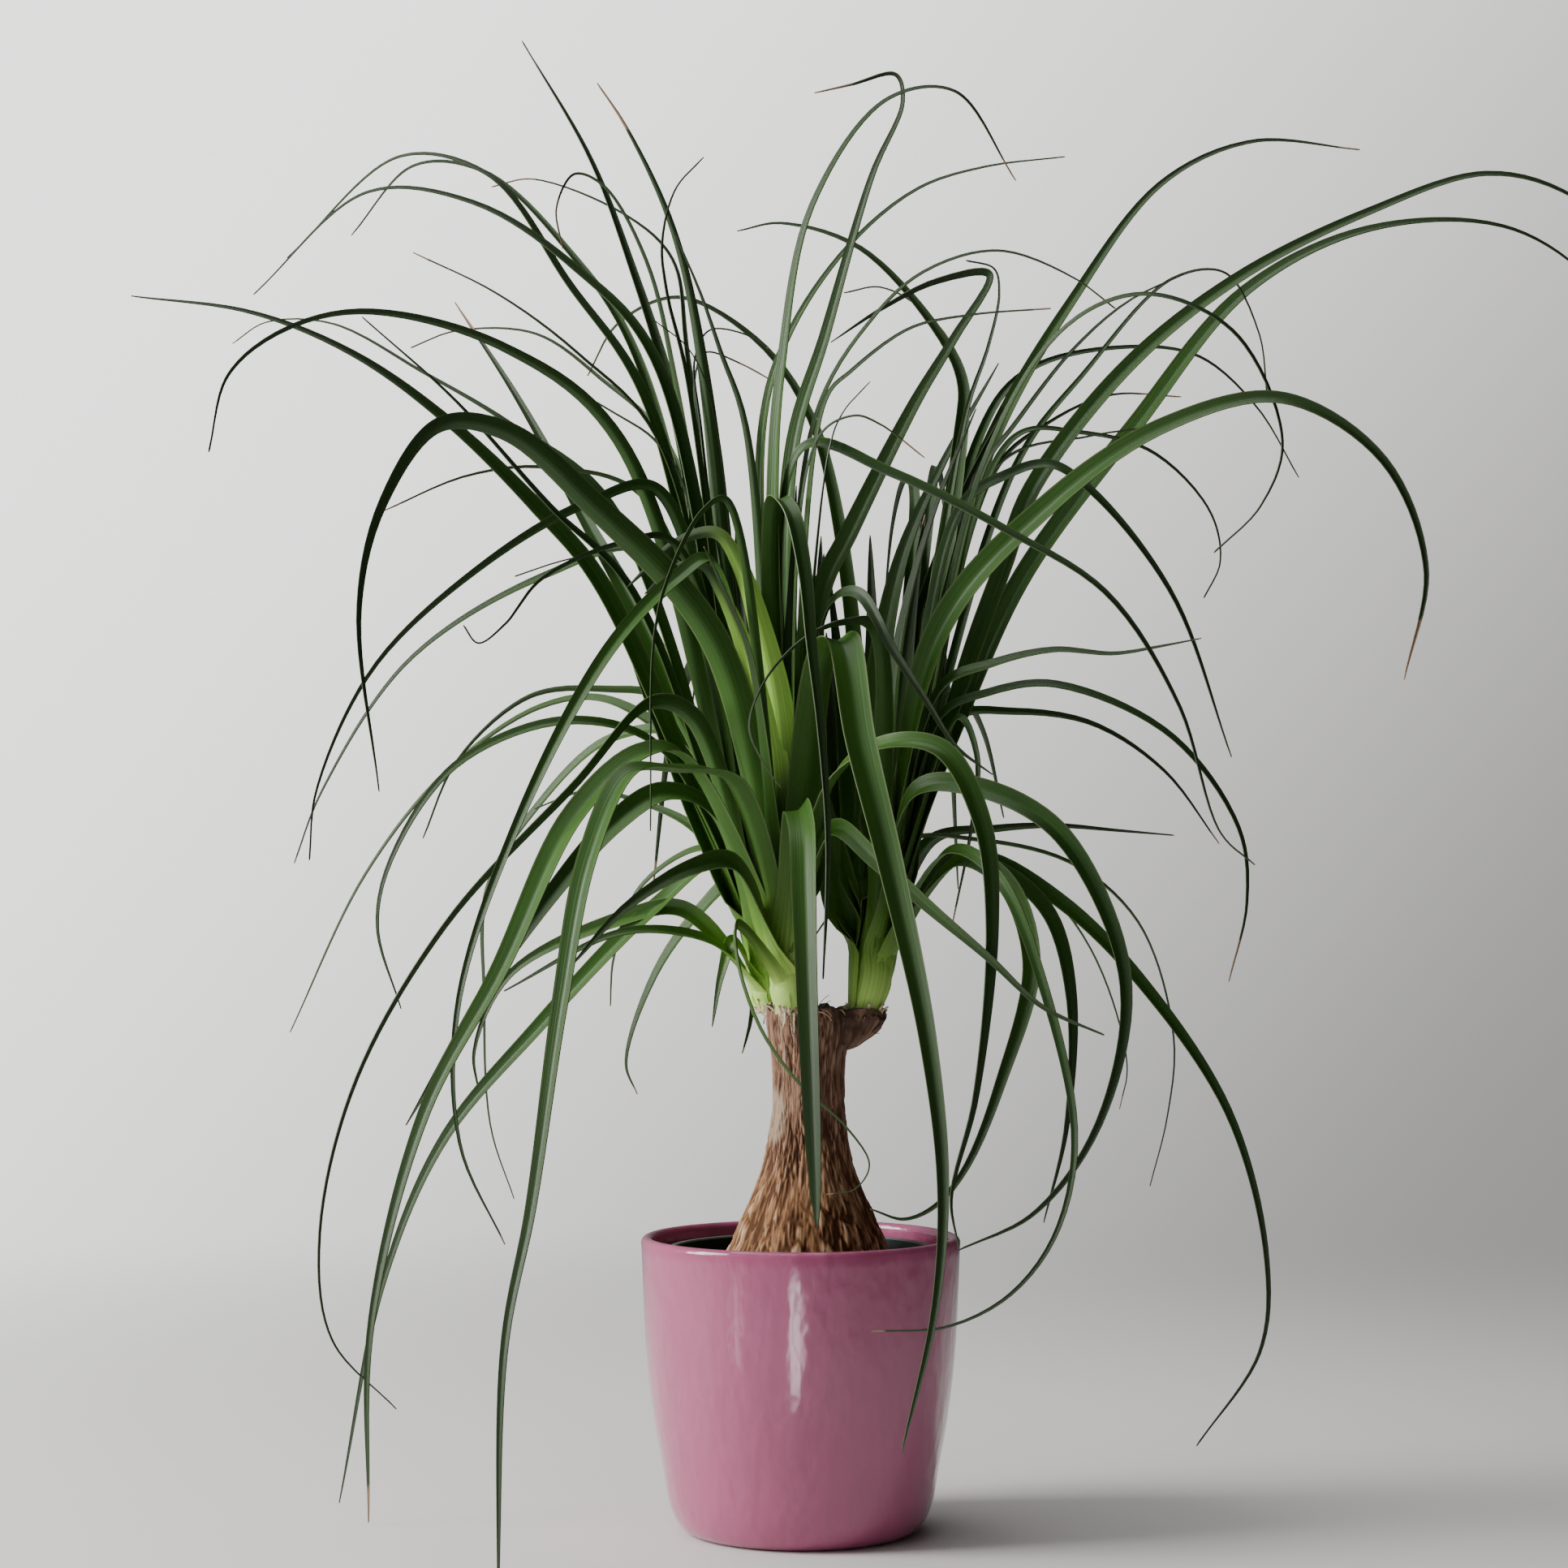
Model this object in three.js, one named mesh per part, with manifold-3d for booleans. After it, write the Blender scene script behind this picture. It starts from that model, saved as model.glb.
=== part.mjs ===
// Ponytail palm in a glazed cover pot: a swollen trunk in a nursery pot of soil, and three leafy heads.
// Millimetres, +Z up. The origin is the centre of the cover pot's foot, on the surface it stands on.
// +X is to the right seen from the front, +Y is away from the viewer.
import * as THREE from "three";
import { mergeVertices } from "three/addons/utils/BufferGeometryUtils.js";
import Module from "manifold-3d";

const wasm = await Module();
wasm.setup();

// ---- driving dimensions ----
const GAP = 0.3; // clearance between pieces that touch

const POT_HEIGHT = 175;
const POT_RIM_RADIUS = 95.4;
const POT_WALL = 7;
const POT_FLOOR = 7;
// the cover pot's outside, from its foot to just under the rim: radius, height
const POT_SIDE = [[62, 0], [67, 0.8], [71, 3.2], [74.2, 7], [78.4, 17], [82.8, 41], [87.2, 65], [90.6, 90],
  [92.7, 114], [93.9, 138], [95, 165]];
const POT_SIDES = 48;

const GROW_POT_TOP = 168;
const GROW_POT_WALL = 1.6;
const GROW_POT_FOOT_RADIUS = 58;
const GROW_POT_MOUTH_RADIUS = 78;
const GROW_POT_LIP = 2.2; // how far the lip stands out
const GROW_POT_SIDES = 40;
const DRAIN_HOLES = 8;
const DRAIN_HOLE_RADIUS = 4;
const DRAIN_RING_RADIUS = 36;

const SOIL_LEVEL = 142;

const TRUNK_TOP = 310;
const TRUNK_SIDES = 36;
const TRUNK_CENTRE_X = 4.5;
const BARK_RELIEF = 1.1; // depth of the bark's vertical ridges above the soil
// the trunk from its buried underside to its cut top: radius, height
const TRUNK_SIDE = [[26, 92], [42, 97], [53, 108], [57.5, 122], [57, 136], [54, 150], [48.5, 166], [42, 182],
  [35.5, 196],
  [29.5, 210], [25.5, 224], [23, 240], [21.6, 258], [21.8, 276], [23.8, 290], [25.3, 300], [24.4, TRUNK_TOP]];
// the side bulge that carries the right head
const STUB = { x: 34, y: -1, z: 303, across: 18, deep: 17, high: 10 };

const BLADE_THICKNESS = 1; // least depth of the keel that runs under a blade
const BLADE_ROOT_SHARE = 1.5; // how many times its middle width a blade has at the root
const BLADE_KEEL = 0.17; // depth of the keel, in widths

// the three heads: the axis of each stem of wrapped leaf bases, its radii and where it ends
const HEADS = {
  shoot_left_back: { foot: [-16, 14, 297], tip: [-40, 25, 510], radius: 11, tipRadius: 4 },
  shoot_left_front: { foot: [-5, -12, 299], tip: [-17, -19, 520], radius: 11, tipRadius: 4 },
  shoot_right: { foot: [37, 0, 302], tip: [74, 1, 515], radius: 12, tipRadius: 4 },
};
const CORE_SIDES = 12;
const TWIN = 0.005; // corners closer than this count as one place
const SLIVER = 0.05; // detail finer than this is dropped where blades join
const LOWEST_PARTING = 330; // the lowest height at which a blade parts from its head's bundle
const ROOT_CLEAR = 14; // the lowest blade's root above its stem's foot
const ROOT_SPREAD = 0.22; // how far up the stem a root moves for each millimetre that its blade parts higher

// Each blade: the height at which it parts from the bundle, its width, and the points its rib passes through.
const BLADES = {
  shoot_left_back: [
    [560, 8, [-75, 35, 670], [-105, 45, 770], [-130, 50, 835], [-173, 60, 910]],
    [580, 9, [-60, 20, 705], [-78, 15, 785], [-106, 10, 845], [-123, 5, 870]],
    [560, 8, [-93, 38, 680], [-143, 50, 757], [-193, 60, 826], [-250, 70, 840], [-322, 80, 778]],
    [575, 6, [-100, 60, 710], [-145, 75, 782], [-200, 90, 835], [-245, 98, 840], [-285, 105, 797]],
    [590, 7, [-87, 10, 702], [-138, 15, 761], [-200, 20, 801], [-265, 25, 808], [-335, 30, 746]],
    [580, 5, [-76, 28, 692], [-94, 24, 766], [-120, 20, 811], [-138, 20, 818], [-149, 20, 797],
      [-145, 20, 772]],
    [570, 5, [-68, 0, 690], [-80, -5, 740], [-83, -8, 770], [-75, -10, 802], [-58, -12, 821]],
    [600, 4, [-70, 70, 715], [-80, 85, 778], [-108, 90, 806], [-169, 95, 831], [-195, 95, 826]],
    [480, 8, [-119, -10, 565], [-156, -20, 609], [-208, -30, 659], [-263, -38, 698], [-323, -45, 722],
      [-394, -50, 731]],
    [590, 7, [-109, -20, 651], [-175, -40, 702], [-254, -60, 720], [-300, -70, 708], [-332, -78, 680],
      [-342, -85, 634]],
    [500, 6, [-117, 40, 619], [-180, 50, 670], [-234, 60, 703], [-292, 70, 735], [-335, 78, 737],
      [-356, 80, 724]],
    [470, 8, [-85, 45, 520], [-135, 70, 614], [-179, 90, 693], [-220, 115, 756]],
    [580, 4, [-86, 22, 655], [-135, 20, 708], [-185, 20, 745], [-236, 20, 770]],
    [570, 4, [-80, 80, 655], [-127, 110, 707], [-170, 125, 738], [-222, 135, 741], [-251, 140, 731]],
    [500, 5, [-100, -20, 560], [-147, -50, 607], [-202, -58, 668], [-256, -65, 716]],
    [560, 4, [-93, 5, 617], [-152, 0, 636], [-200, -2, 631], [-251, -5, 609]],
    [540, 6, [-93, 50, 590], [-158, 62, 577], [-244, 75, 525], [-299, 80, 443], [-316, 80, 398]],
    [570, 6, [-86, -15, 621], [-127, -30, 611], [-187, -45, 573], [-250, -50, 513], [-284, -50, 440],
      [-288, -50, 399]],
    [440, 9, [-60, 60, 455], [-122, 95, 502], [-165, 105, 498], [-225, 115, 457], [-277, 120, 391],
      [-324, 120, 291]],
    [460, 4, [-82, 25, 496], [-119, 30, 504], [-165, 35, 500], [-210, 40, 461], [-231, 40, 413]],
    [430, 7, [-81, -10, 465], [-138, -35, 482], [-202, -45, 456], [-240, -50, 400], [-248, -50, 360],
      [-234, -50, 312]],
    [455, 8, [-62, -36, 482], [-86, -54, 492], [-131, -95, 441], [-201, -125, 362], [-249, -145, 274],
      [-266, -160, 190], [-258, -165, 135], [-222, -170, 98]],
    [440, 6, [-70, 40, 475], [-119, 62, 475], [-165, 78, 433], [-196, 85, 382], [-198, 88, 316],
      [-194, 90, 234],
      [-179, 90, 188]],
    [390, 9, [-50, -34, 428], [-78, -52, 440], [-108, -75, 421], [-166, -110, 346], [-222, -128, 250]],
    [370, 8, [-52, 20, 397], [-91, 20, 370], [-161, 15, 297], [-215, 10, 232], [-250, 10, 150],
      [-277, 10, 14]],
    [400, 5, [-60, 35, 415], [-102, 55, 437], [-133, 65, 443], [-165, 70, 432]],
    [380, 5, [-47, 30, 404], [-65, 38, 407], [-99, 45, 383], [-115, 50, 340], [-117, 50, 310]],
    [345, 5, [-71, 20, 370], [-110, 22, 364], [-176, 25, 331], [-198, 25, 284], [-195, 25, 258]],
    [330, 5, [-45, -10, 347], [-75, -35, 358], [-110, -48, 356], [-173, -60, 323]],
    [370, 6, [-41, 45, 387], [-62, 55, 370], [-90, 62, 330], [-108, 65, 274], [-101, 65, 255]],
    [345, 4, [-40, -5, 352], [-48, -8, 330], [-53, -10, 300]],
    [430, 14, [-66, 4, 440], [-92, 6, 500], [-116, 6, 566]],
    [450, 14, [-52, 22, 470], [-62, 26, 550], [-68, 30, 630]],
  ],
  shoot_left_front: [
    [450, 13, [-49, -50, 525], [-121, -90, 605], [-168, -110, 643], [-205, -122, 645], [-235, -135, 600],
      [-247, -148, 538], [-234, -160, 436]],
    [550, 5, [-75, -60, 585], [-104, -75, 583], [-150, -90, 560], [-170, -95, 534], [-185, -98, 523],
      [-193, -100, 533]],
    [560, 7, [-51, -60, 575], [-73, -80, 562], [-111, -100, 518], [-160, -125, 420], [-192, -140, 317],
      [-190, -145, 240], [-165, -145, 185]],
    [580, 4, [-44, -95, 606], [-57, -100, 598], [-76, -108, 560], [-84, -112, 525], [-86, -112, 415]],
    [400, 12, [-68, -70, 462], [-90, -85, 463], [-129, -120, 425], [-167, -165, 338], [-205, -195, 261],
      [-230, -220, 150], [-229, -235, 49]],
    [405, 11, [-38, -75, 445], [-72, -115, 452], [-97, -140, 449], [-118, -170, 401], [-131, -200, 322],
      [-144, -235, 214], [-156, -255, 144], [-157, -280, 12]],
    [370, 9, [-38, -70, 398], [-63, -88, 395], [-100, -105, 372], [-131, -120, 338]],
    [365, 4, [-38, -70, 362], [-37, -85, 340], [-24, -95, 303], [-3, -100, 273], [26, -105, 246],
      [38, -108, 226],
      [30, -110, 213], [14, -110, 210]],
    [592, 8, [-6, -37, 640], [14, -38, 710], [42, -40, 805], [60, -40, 848], [56, -40, 864],
      [30, -40, 858], [8, -40, 853]],
    [566, 9, [-17, -48, 619], [-12, -52, 690], [6, -56, 783], [50, -60, 845], [90, -60, 850],
      [126, -60, 797]],
    [580, 6, [-23, -5, 663], [-6, -8, 718], [31, -10, 771], [71, -12, 803], [110, -15, 815], [158, -20, 820]],
    [590, 6, [-33, -5, 660], [-48, -5, 705], [-60, -5, 740], [-75, -8, 775]],
    [530, 9, [11, -30, 556], [28, -30, 593], [68, -28, 672], [91, -26, 710], [112, -25, 748], [80, -22, 744],
      [48, -20, 728], [18, -20, 708]],
    [600, 5, [7, -50, 656], [42, -58, 717], [73, -62, 744], [115, -65, 755], [158, -68, 739],
      [183, -70, 720]],
    [600, 4, [14, -70, 667], [29, -75, 683], [63, -80, 707], [98, -84, 714], [144, -88, 717]],
    [585, 4, [16, -66, 638], [24, -64, 660], [40, -66, 678]],
    [597, 4, [9, -83, 642], [30, -88, 655], [45, -90, 650], [71, -92, 630]],
    [598, 6, [1, -58, 641], [53, -72, 624], [120, -88, 588], [175, -100, 551], [215, -106, 487],
      [238, -110, 414],
      [257, -112, 396]],
    [410, 8, [17, -65, 418], [44, -98, 397], [74, -120, 370], [104, -138, 344], [133, -153, 317],
      [166, -165, 302]],
    [400, 11, [17, -65, 447], [48, -95, 467], [80, -110, 462], [102, -122, 420], [107, -130, 360],
      [97, -140, 266],
      [83, -146, 210], [87, -150, 184]],
    [530, 9, [15, -50, 548], [32, -68, 555], [53, -88, 519], [71, -100, 490], [88, -108, 463],
      [108, -115, 447]],
    [490, 14, [12, -65, 520], [23, -92, 528], [33, -130, 467], [50, -160, 392], [68, -195, 300],
      [75, -215, 224],
      [70, -228, 160], [52, -236, 86]],
    [400, 12, [-4, -75, 430], [0, -105, 418], [1, -125, 382], [3, -145, 315], [6, -158, 240], [8, -163, 196]],
    [552, 10, [-15, -58, 611], [-6, -75, 603], [2, -92, 566], [6, -107, 521], [11, -118, 475],
      [15, -130, 409],
      [12, -140, 332]],
    [500, 11, [-30, -70, 520], [-42, -74, 549], [-52, -76, 572], [-56, -80, 580]],
    [430, 15, [3, 4, 450], [9, 8, 520], [14, 12, 585]],
    [460, 13, [-21, 2, 490], [-20, 4, 570], [-16, 6, 650]],
  ],
  shoot_right: [
    [540, 7, [25, 60, 604], [6, 75, 679], [-27, 85, 727], [-77, 90, 755], [-115, 90, 738], [-134, 90, 705]],
    [600, 9, [97, 15, 655], [99, 25, 692], [85, 32, 723], [37, 42, 777], [-12, 50, 794], [-39, 50, 789]],
    [600, 4, [100, 30, 690], [80, 45, 735], [50, 55, 755], [27, 58, 752]],
    [600, 5, [100, 5, 670], [113, 5, 709], [120, 5, 742], [117, 5, 757], [100, 5, 762]],
    [590, 7, [95, -18, 610], [121, -28, 628], [147, -35, 634], [171, -40, 618], [218, -50, 555],
      [251, -60, 459]],
    [600, 5, [129, 15, 656], [171, 20, 660], [215, 22, 648], [250, 25, 612], [256, 25, 581], [246, 25, 559]],
    [480, 12, [79, -45, 532], [142, -68, 605], [209, -85, 650], [275, -98, 664], [331, -107, 628],
      [355, -111, 565],
      [342, -112, 501]],
    [450, 11, [101, 8, 500], [135, 20, 573], [205, 36, 667], [276, 50, 753], [358, 62, 794], [447, 74, 795],
      [505, 82, 755], [530, 86, 695]],
    [470, 9, [102, -8, 524], [121, -14, 576], [137, -20, 620], [194, -32, 693], [259, -42, 744],
      [334, -50, 781], [402, -57, 802],
      [450, -60, 789], [500, -64, 740]],
    [470, 9, [86, 30, 545], [107, 45, 630], [127, 58, 678], [168, 68, 747], [227, 78, 825],
      [285, 86, 853], [354, 92, 849]],
    [600, 5, [110, -35, 640], [156, -65, 712], [200, -80, 727], [250, -88, 703], [277, -90, 640],
      [264, -92, 602],
      [237, -92, 575]],
    [600, 5, [110, 50, 660], [142, 75, 706], [200, 95, 724], [252, 102, 720], [290, 106, 688],
      [317, 108, 643]],
    [590, 4, [131, 30, 640], [175, 38, 700], [229, 42, 758], [262, 44, 762], [283, 45, 725], [288, 45, 686]],
    [600, 5, [111, 0, 637], [128, -4, 661], [164, -5, 707], [196, -6, 735], [230, -6, 752]],
    [590, 4, [120, 80, 640], [157, 115, 678], [200, 130, 699], [246, 138, 699]],
    [460, 7, [83, -12, 486], [110, -20, 499], [150, -28, 504], [217, -38, 474], [257, -46, 418],
      [261, -50, 374],
      [250, -52, 328]],
    [450, 5, [92, 25, 485], [131, 38, 491], [180, 48, 484], [225, 55, 455], [259, 58, 410]],
    [480, 7, [81, -35, 500], [111, -60, 514], [146, -75, 521], [180, -85, 518], [207, -90, 522],
      [229, -95, 526]],
    [390, 7, [80, 50, 412], [123, 72, 420], [160, 85, 422], [200, 95, 419], [236, 100, 416]],
    [400, 9, [65, -50, 440], [100, -70, 442], [145, -90, 418], [177, -103, 361], [184, -110, 313],
      [165, -119, 245],
      [130, -124, 200], [88, -126, 180]],
    [380, 9, [93, -25, 400], [120, -48, 386], [134, -60, 340], [115, -76, 271], [94, -90, 223],
      [76, -98, 202],
      [58, -102, 195], [39, -104, 201]],
    [375, 10, [90, 15, 400], [121, 15, 394], [150, 12, 368], [163, 8, 320], [160, 5, 240], [146, 5, 182]],
    [365, 7, [80, 12, 392], [109, 18, 402], [158, 24, 375], [206, 30, 328], [262, 38, 245], [285, 42, 156],
      [281, 44, 100], [242, 45, 42]],
    [395, 5, [65, 35, 411], [110, 55, 413], [170, 68, 398], [212, 74, 360], [233, 78, 290], [229, 80, 240],
      [218, 80, 197]],
    [385, 5, [85, -55, 405], [112, -95, 389], [136, -118, 328], [152, -136, 243], [141, -145, 192],
      [115, -154, 159],
      [80, -160, 142], [38, -164, 140]],
    [370, 5, [95, 60, 400], [130, 85, 400], [164, 98, 373], [190, 104, 332], [207, 108, 270],
      [202, 108, 243]],
    [470, 4, [93, -35, 484], [103, -50, 460], [99, -58, 417], [88, -62, 363]],
    [500, 8, [44, -56, 533], [24, -86, 536], [2, -102, 526], [-20, -112, 503], [-30, -122, 474],
      [-22, -126, 453],
      [-12, -128, 439]],
    [420, 16, [34, 22, 430], [26, 34, 500], [18, 44, 575]],
    [430, 16, [43, 28, 450], [44, 38, 530], [43, 48, 600]],
    [440, 17, [54, 14, 450], [64, 20, 530], [76, 24, 610]],
    [445, 15, [67, -8, 470], [84, -12, 550], [103, -16, 630]],
    [385, 8, [46, 32, 392], [29, 44, 380], [11, 52, 357], [4, 54, 345]],
  ],
};

// Blades on the hidden side, placed by rule: how many, their fan of headings in degrees, and a seed.
const BACK_BLADES = {
  shoot_left_back: { count: 6, firstHeading: 72, lastHeading: 106, seed: 7 },
  shoot_right: { count: 6, firstHeading: 74, lastHeading: 100, seed: 41 },
};
const BACK_BLADE_WIDTH = 9;
const BACK_BLADE_REACH = [190, 320];

// ---- materials ----
const glaze = new THREE.MeshStandardMaterial({ color: 0x96606f, roughness: 0.25, metalness: 0 });
const nurseryPlastic = new THREE.MeshStandardMaterial({ color: 0x23291f, roughness: 0.55, metalness: 0 });
const pottingMix = new THREE.MeshStandardMaterial({ color: 0x35261c, roughness: 0.95, metalness: 0 });
const bark = new THREE.MeshStandardMaterial({ color: 0x7d5f47, roughness: 0.9, metalness: 0 });
const leaf = new THREE.MeshStandardMaterial({ color: 0x2f4a22, roughness: 0.5, metalness: 0 });

// ---- solids ----
function toSolid(geometry) {
  const bare = geometry.clone();
  bare.deleteAttribute("normal");
  bare.deleteAttribute("uv");
  const merged = mergeVertices(bare, 1e-4);
  const vertProperties = new Float32Array(merged.attributes.position.array);
  const triVerts = new Uint32Array(merged.index.array);
  return new wasm.Manifold(new wasm.Mesh({ numProp: 3, vertProperties, triVerts }));
}

function toGeometry(solid) {
  const mesh = solid.getMesh();
  const index = outerShell(Array.from(mesh.triVerts), mesh.vertProperties.length / 3);
  const positions = partTwins(new Float32Array(mesh.vertProperties), index);
  const geometry = new THREE.BufferGeometry();
  geometry.setAttribute("position", new THREE.BufferAttribute(positions, 3));
  geometry.setIndex(index);
  geometry.computeVertexNormals();
  return geometry;
}

// Two corners that meet at one place without being joined are moved apart, each into a face of its own.
function partTwins(positions, index) {
  const at = (vertex) => new THREE.Vector3().fromArray(positions, vertex * 3);
  const faceOf = new Map();
  for (let i = 0; i < index.length; i++) faceOf.set(index[i], i - (i % 3));
  const taken = new Set();
  for (const [vertex, face] of faceOf) {
    const place = at(vertex);
    const key = place.toArray().map((value) => Math.round(value / TWIN)).join();
    if (taken.has(key)) {
      const middle = at(index[face]).add(at(index[face + 1])).add(at(index[face + 2])).divideScalar(3);
      place.add(middle.sub(place).setLength(4 * TWIN)).toArray(positions, vertex * 3);
    }
    taken.add(key);
  }
  return positions;
}

// Keeps the largest shell of a joined body, so that a hollow sealed between its blades is filled.
function outerShell(index, vertexCount) {
  const root = Array.from({ length: vertexCount }, (_, vertex) => vertex);
  const find = (vertex) => {
    while (root[vertex] !== vertex) vertex = root[vertex] = root[root[vertex]];
    return vertex;
  };
  for (let i = 0; i < index.length; i += 3) {
    root[find(index[i])] = find(index[i + 1]);
    root[find(index[i + 1])] = find(index[i + 2]);
  }
  const sizes = new Map();
  for (const vertex of index) sizes.set(find(vertex), (sizes.get(find(vertex)) ?? 0) + 1);
  const [largest] = [...sizes].reduce((a, b) => (b[1] > a[1] ? b : a));
  return index.filter((vertex) => find(vertex) === largest);
}

// Joins solids two by two, so that no single join grows large.
function joinAll(solids) {
  let row = solids;
  while (row.length > 1) {
    const next = [];
    for (let i = 0; i < row.length; i += 2) next.push(i + 1 < row.length ? row[i].add(row[i + 1]) : row[i]);
    row = next;
  }
  return row[0];
}

// A profile of [radius, height] pairs, from the axis and back to the axis, turned about Z.
function turned(profile, sides) {
  const lathe = new THREE.LatheGeometry(profile.map(([r, z]) => new THREE.Vector2(r, z)), sides);
  lathe.rotateX(Math.PI / 2);
  return lathe;
}

// A skin over closed rings of equal point counts, with a flat fan at each end.
function skinned(rings) {
  const sides = rings[0].length;
  const positions = rings.flat().flatMap((point) => [point.x, point.y, point.z]);
  const index = [];
  const corner = (number) => rings[Math.floor(number / sides)][number % sides];
  for (let ring = 0; ring + 1 < rings.length; ring++) {
    for (let side = 0; side < sides; side++) {
      const a = ring * sides + side;
      const b = ring * sides + ((side + 1) % sides);
      const [c, d] = [b + sides, a + sides];
      const [ab, ac, ad] = [b, c, d].map((number) => corner(number).clone().sub(corner(a)));
      if (ab.cross(ac).dot(ad) > 0) index.push(a, b, d, b, c, d);
      else index.push(a, b, c, a, c, d);
    }
  }
  const last = (rings.length - 1) * sides;
  for (let side = 1; side + 1 < sides; side++) {
    index.push(0, side + 1, side);
    index.push(last, last + side, last + side + 1);
  }
  const geometry = new THREE.BufferGeometry();
  geometry.setAttribute("position", new THREE.Float32BufferAttribute(positions, 3));
  geometry.setIndex(index);
  return geometry;
}

// ---- pots and soil ----
function coverPot() {
  const inside = POT_SIDE.filter(([, z]) => z > POT_FLOOR + 6).map(([r, z]) => [r - POT_WALL, z]).reverse();
  const rim = [];
  const bead = POT_WALL / 2;
  for (let step = 0; step <= 6; step++) {
    const turn = (Math.PI * step) / 6;
    rim.push([POT_RIM_RADIUS - bead + bead * Math.cos(turn), POT_HEIGHT - bead + bead * Math.sin(turn)]);
  }
  const floorCorner = [[66, POT_FLOOR + 3], [60, POT_FLOOR]];
  return turned([[0, 0], ...POT_SIDE, ...rim, ...inside, ...floorCorner, [0, POT_FLOOR]], POT_SIDES);
}

function growPotRadius(z) {
  const rise = (z - POT_FLOOR - GAP) / (GROW_POT_TOP - POT_FLOOR - GAP);
  return GROW_POT_FOOT_RADIUS + (GROW_POT_MOUTH_RADIUS - GROW_POT_FOOT_RADIUS) * rise;
}

function growPot() {
  const foot = POT_FLOOR + GAP;
  const floor = foot + GROW_POT_WALL;
  const lipFoot = GROW_POT_TOP - 6;
  const profile = [[0, foot], [GROW_POT_FOOT_RADIUS - 2, foot], [growPotRadius(foot + 2), foot + 2],
    [growPotRadius(lipFoot), lipFoot], [GROW_POT_MOUTH_RADIUS + GROW_POT_LIP, lipFoot],
    [GROW_POT_MOUTH_RADIUS + GROW_POT_LIP, GROW_POT_TOP - 0.8], [GROW_POT_MOUTH_RADIUS + 1.2, GROW_POT_TOP],
    [GROW_POT_MOUTH_RADIUS - GROW_POT_WALL, GROW_POT_TOP], [growPotRadius(floor) - GROW_POT_WALL, floor],
    [0, floor]];
  let solid = toSolid(turned(profile, GROW_POT_SIDES));
  for (let hole = 0; hole < DRAIN_HOLES; hole++) {
    const turn = (2 * Math.PI * hole) / DRAIN_HOLES;
    const drill = new THREE.CylinderGeometry(DRAIN_HOLE_RADIUS, DRAIN_HOLE_RADIUS, 10, 10);
    drill.rotateX(Math.PI / 2);
    drill.translate(DRAIN_RING_RADIUS * Math.cos(turn), DRAIN_RING_RADIUS * Math.sin(turn), foot);
    solid = solid.subtract(toSolid(drill));
  }
  return toGeometry(solid);
}

// The trunk's buried part is round and smooth, so the soil's hole is its own profile with a little clearance.
function soil() {
  const foot = POT_FLOOR + GAP + GROW_POT_WALL + GAP;
  const wall = (z) => growPotRadius(z) - GROW_POT_WALL - 2 * GAP;
  const buried = TRUNK_SIDE.filter(([, z]) => z < SOIL_LEVEL).reverse();
  const atLevel = 56 + GAP;
  const hole = [[atLevel, SOIL_LEVEL], ...buried.map(([r, z]) => [r + GAP, z - GAP])];
  const side = [[0, foot], [wall(foot) - 1.5, foot], [wall(foot + 2), foot + 2],
    [wall(SOIL_LEVEL), SOIL_LEVEL]];
  const underTrunk = buried[buried.length - 1][1] - GAP;
  return turned([...side, ...hole, [0, underTrunk]], GROW_POT_SIDES);
}

// ---- trunk ----
function barkRelief(turn, z) {
  const fade = THREE.MathUtils.smoothstep(z, SOIL_LEVEL + 4, SOIL_LEVEL + 22);
  const ridges = 0.5 * Math.sin(7 * turn + z / 21) + 0.3 * Math.sin(12 * turn - z / 13)
    + 0.35 * Math.sin(3 * turn + z / 30);
  return BARK_RELIEF * fade * ridges;
}

function trunkCentre(z) {
  return TRUNK_CENTRE_X * THREE.MathUtils.smoothstep(z, SOIL_LEVEL, SOIL_LEVEL + 30);
}

function trunk() {
  const rings = TRUNK_SIDE.map(([radius, z]) => {
    const ring = [];
    for (let side = 0; side < TRUNK_SIDES; side++) {
      const turn = (2 * Math.PI * side) / TRUNK_SIDES;
      const reach = radius + barkRelief(turn, z);
      ring.push(new THREE.Vector3(trunkCentre(z) + reach * Math.cos(turn), reach * Math.sin(turn), z));
    }
    return ring;
  });
  const stub = new THREE.IcosahedronGeometry(1, 3);
  stub.scale(STUB.across, STUB.deep, STUB.high);
  stub.rotateY(THREE.MathUtils.degToRad(18));
  stub.translate(STUB.x, STUB.y, STUB.z);
  let solid = toSolid(skinned(rings)).add(toSolid(stub));
  for (const head of Object.values(HEADS)) solid = solid.subtract(toSolid(stem(head, GAP)));
  return toGeometry(solid);
}

// ---- leafy heads ----
function onStem(head, height) {
  const foot = new THREE.Vector3(...head.foot);
  const tip = new THREE.Vector3(...head.tip);
  return foot.lerp(tip, (height - foot.z) / (tip.z - foot.z));
}

// The stem of wrapped leaf bases: widest a little above its foot, then tapering up to its tip.
function stem(head, clearance) {
  const rings = [];
  const tipSwell = head.tipRadius / head.radius;
  const shape = [[0, 0.82], [0.05, 0.95], [0.14, 1], [0.4, 0.92], [0.7, 0.72], [1, tipSwell]];
  for (const [rise, swell] of shape) {
    const height = THREE.MathUtils.lerp(head.foot[2] - clearance, head.tip[2], rise);
    const centre = onStem(head, height);
    const radius = head.radius * swell + clearance;
    const ring = [];
    for (let side = 0; side < CORE_SIDES; side++) {
      const turn = (2 * Math.PI * side) / CORE_SIDES;
      const out = new THREE.Vector3(radius * Math.cos(turn), radius * Math.sin(turn), height);
      ring.push(out.add(new THREE.Vector3(centre.x, centre.y, 0)));
    }
    rings.push(ring);
  }
  return skinned(rings);
}

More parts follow.
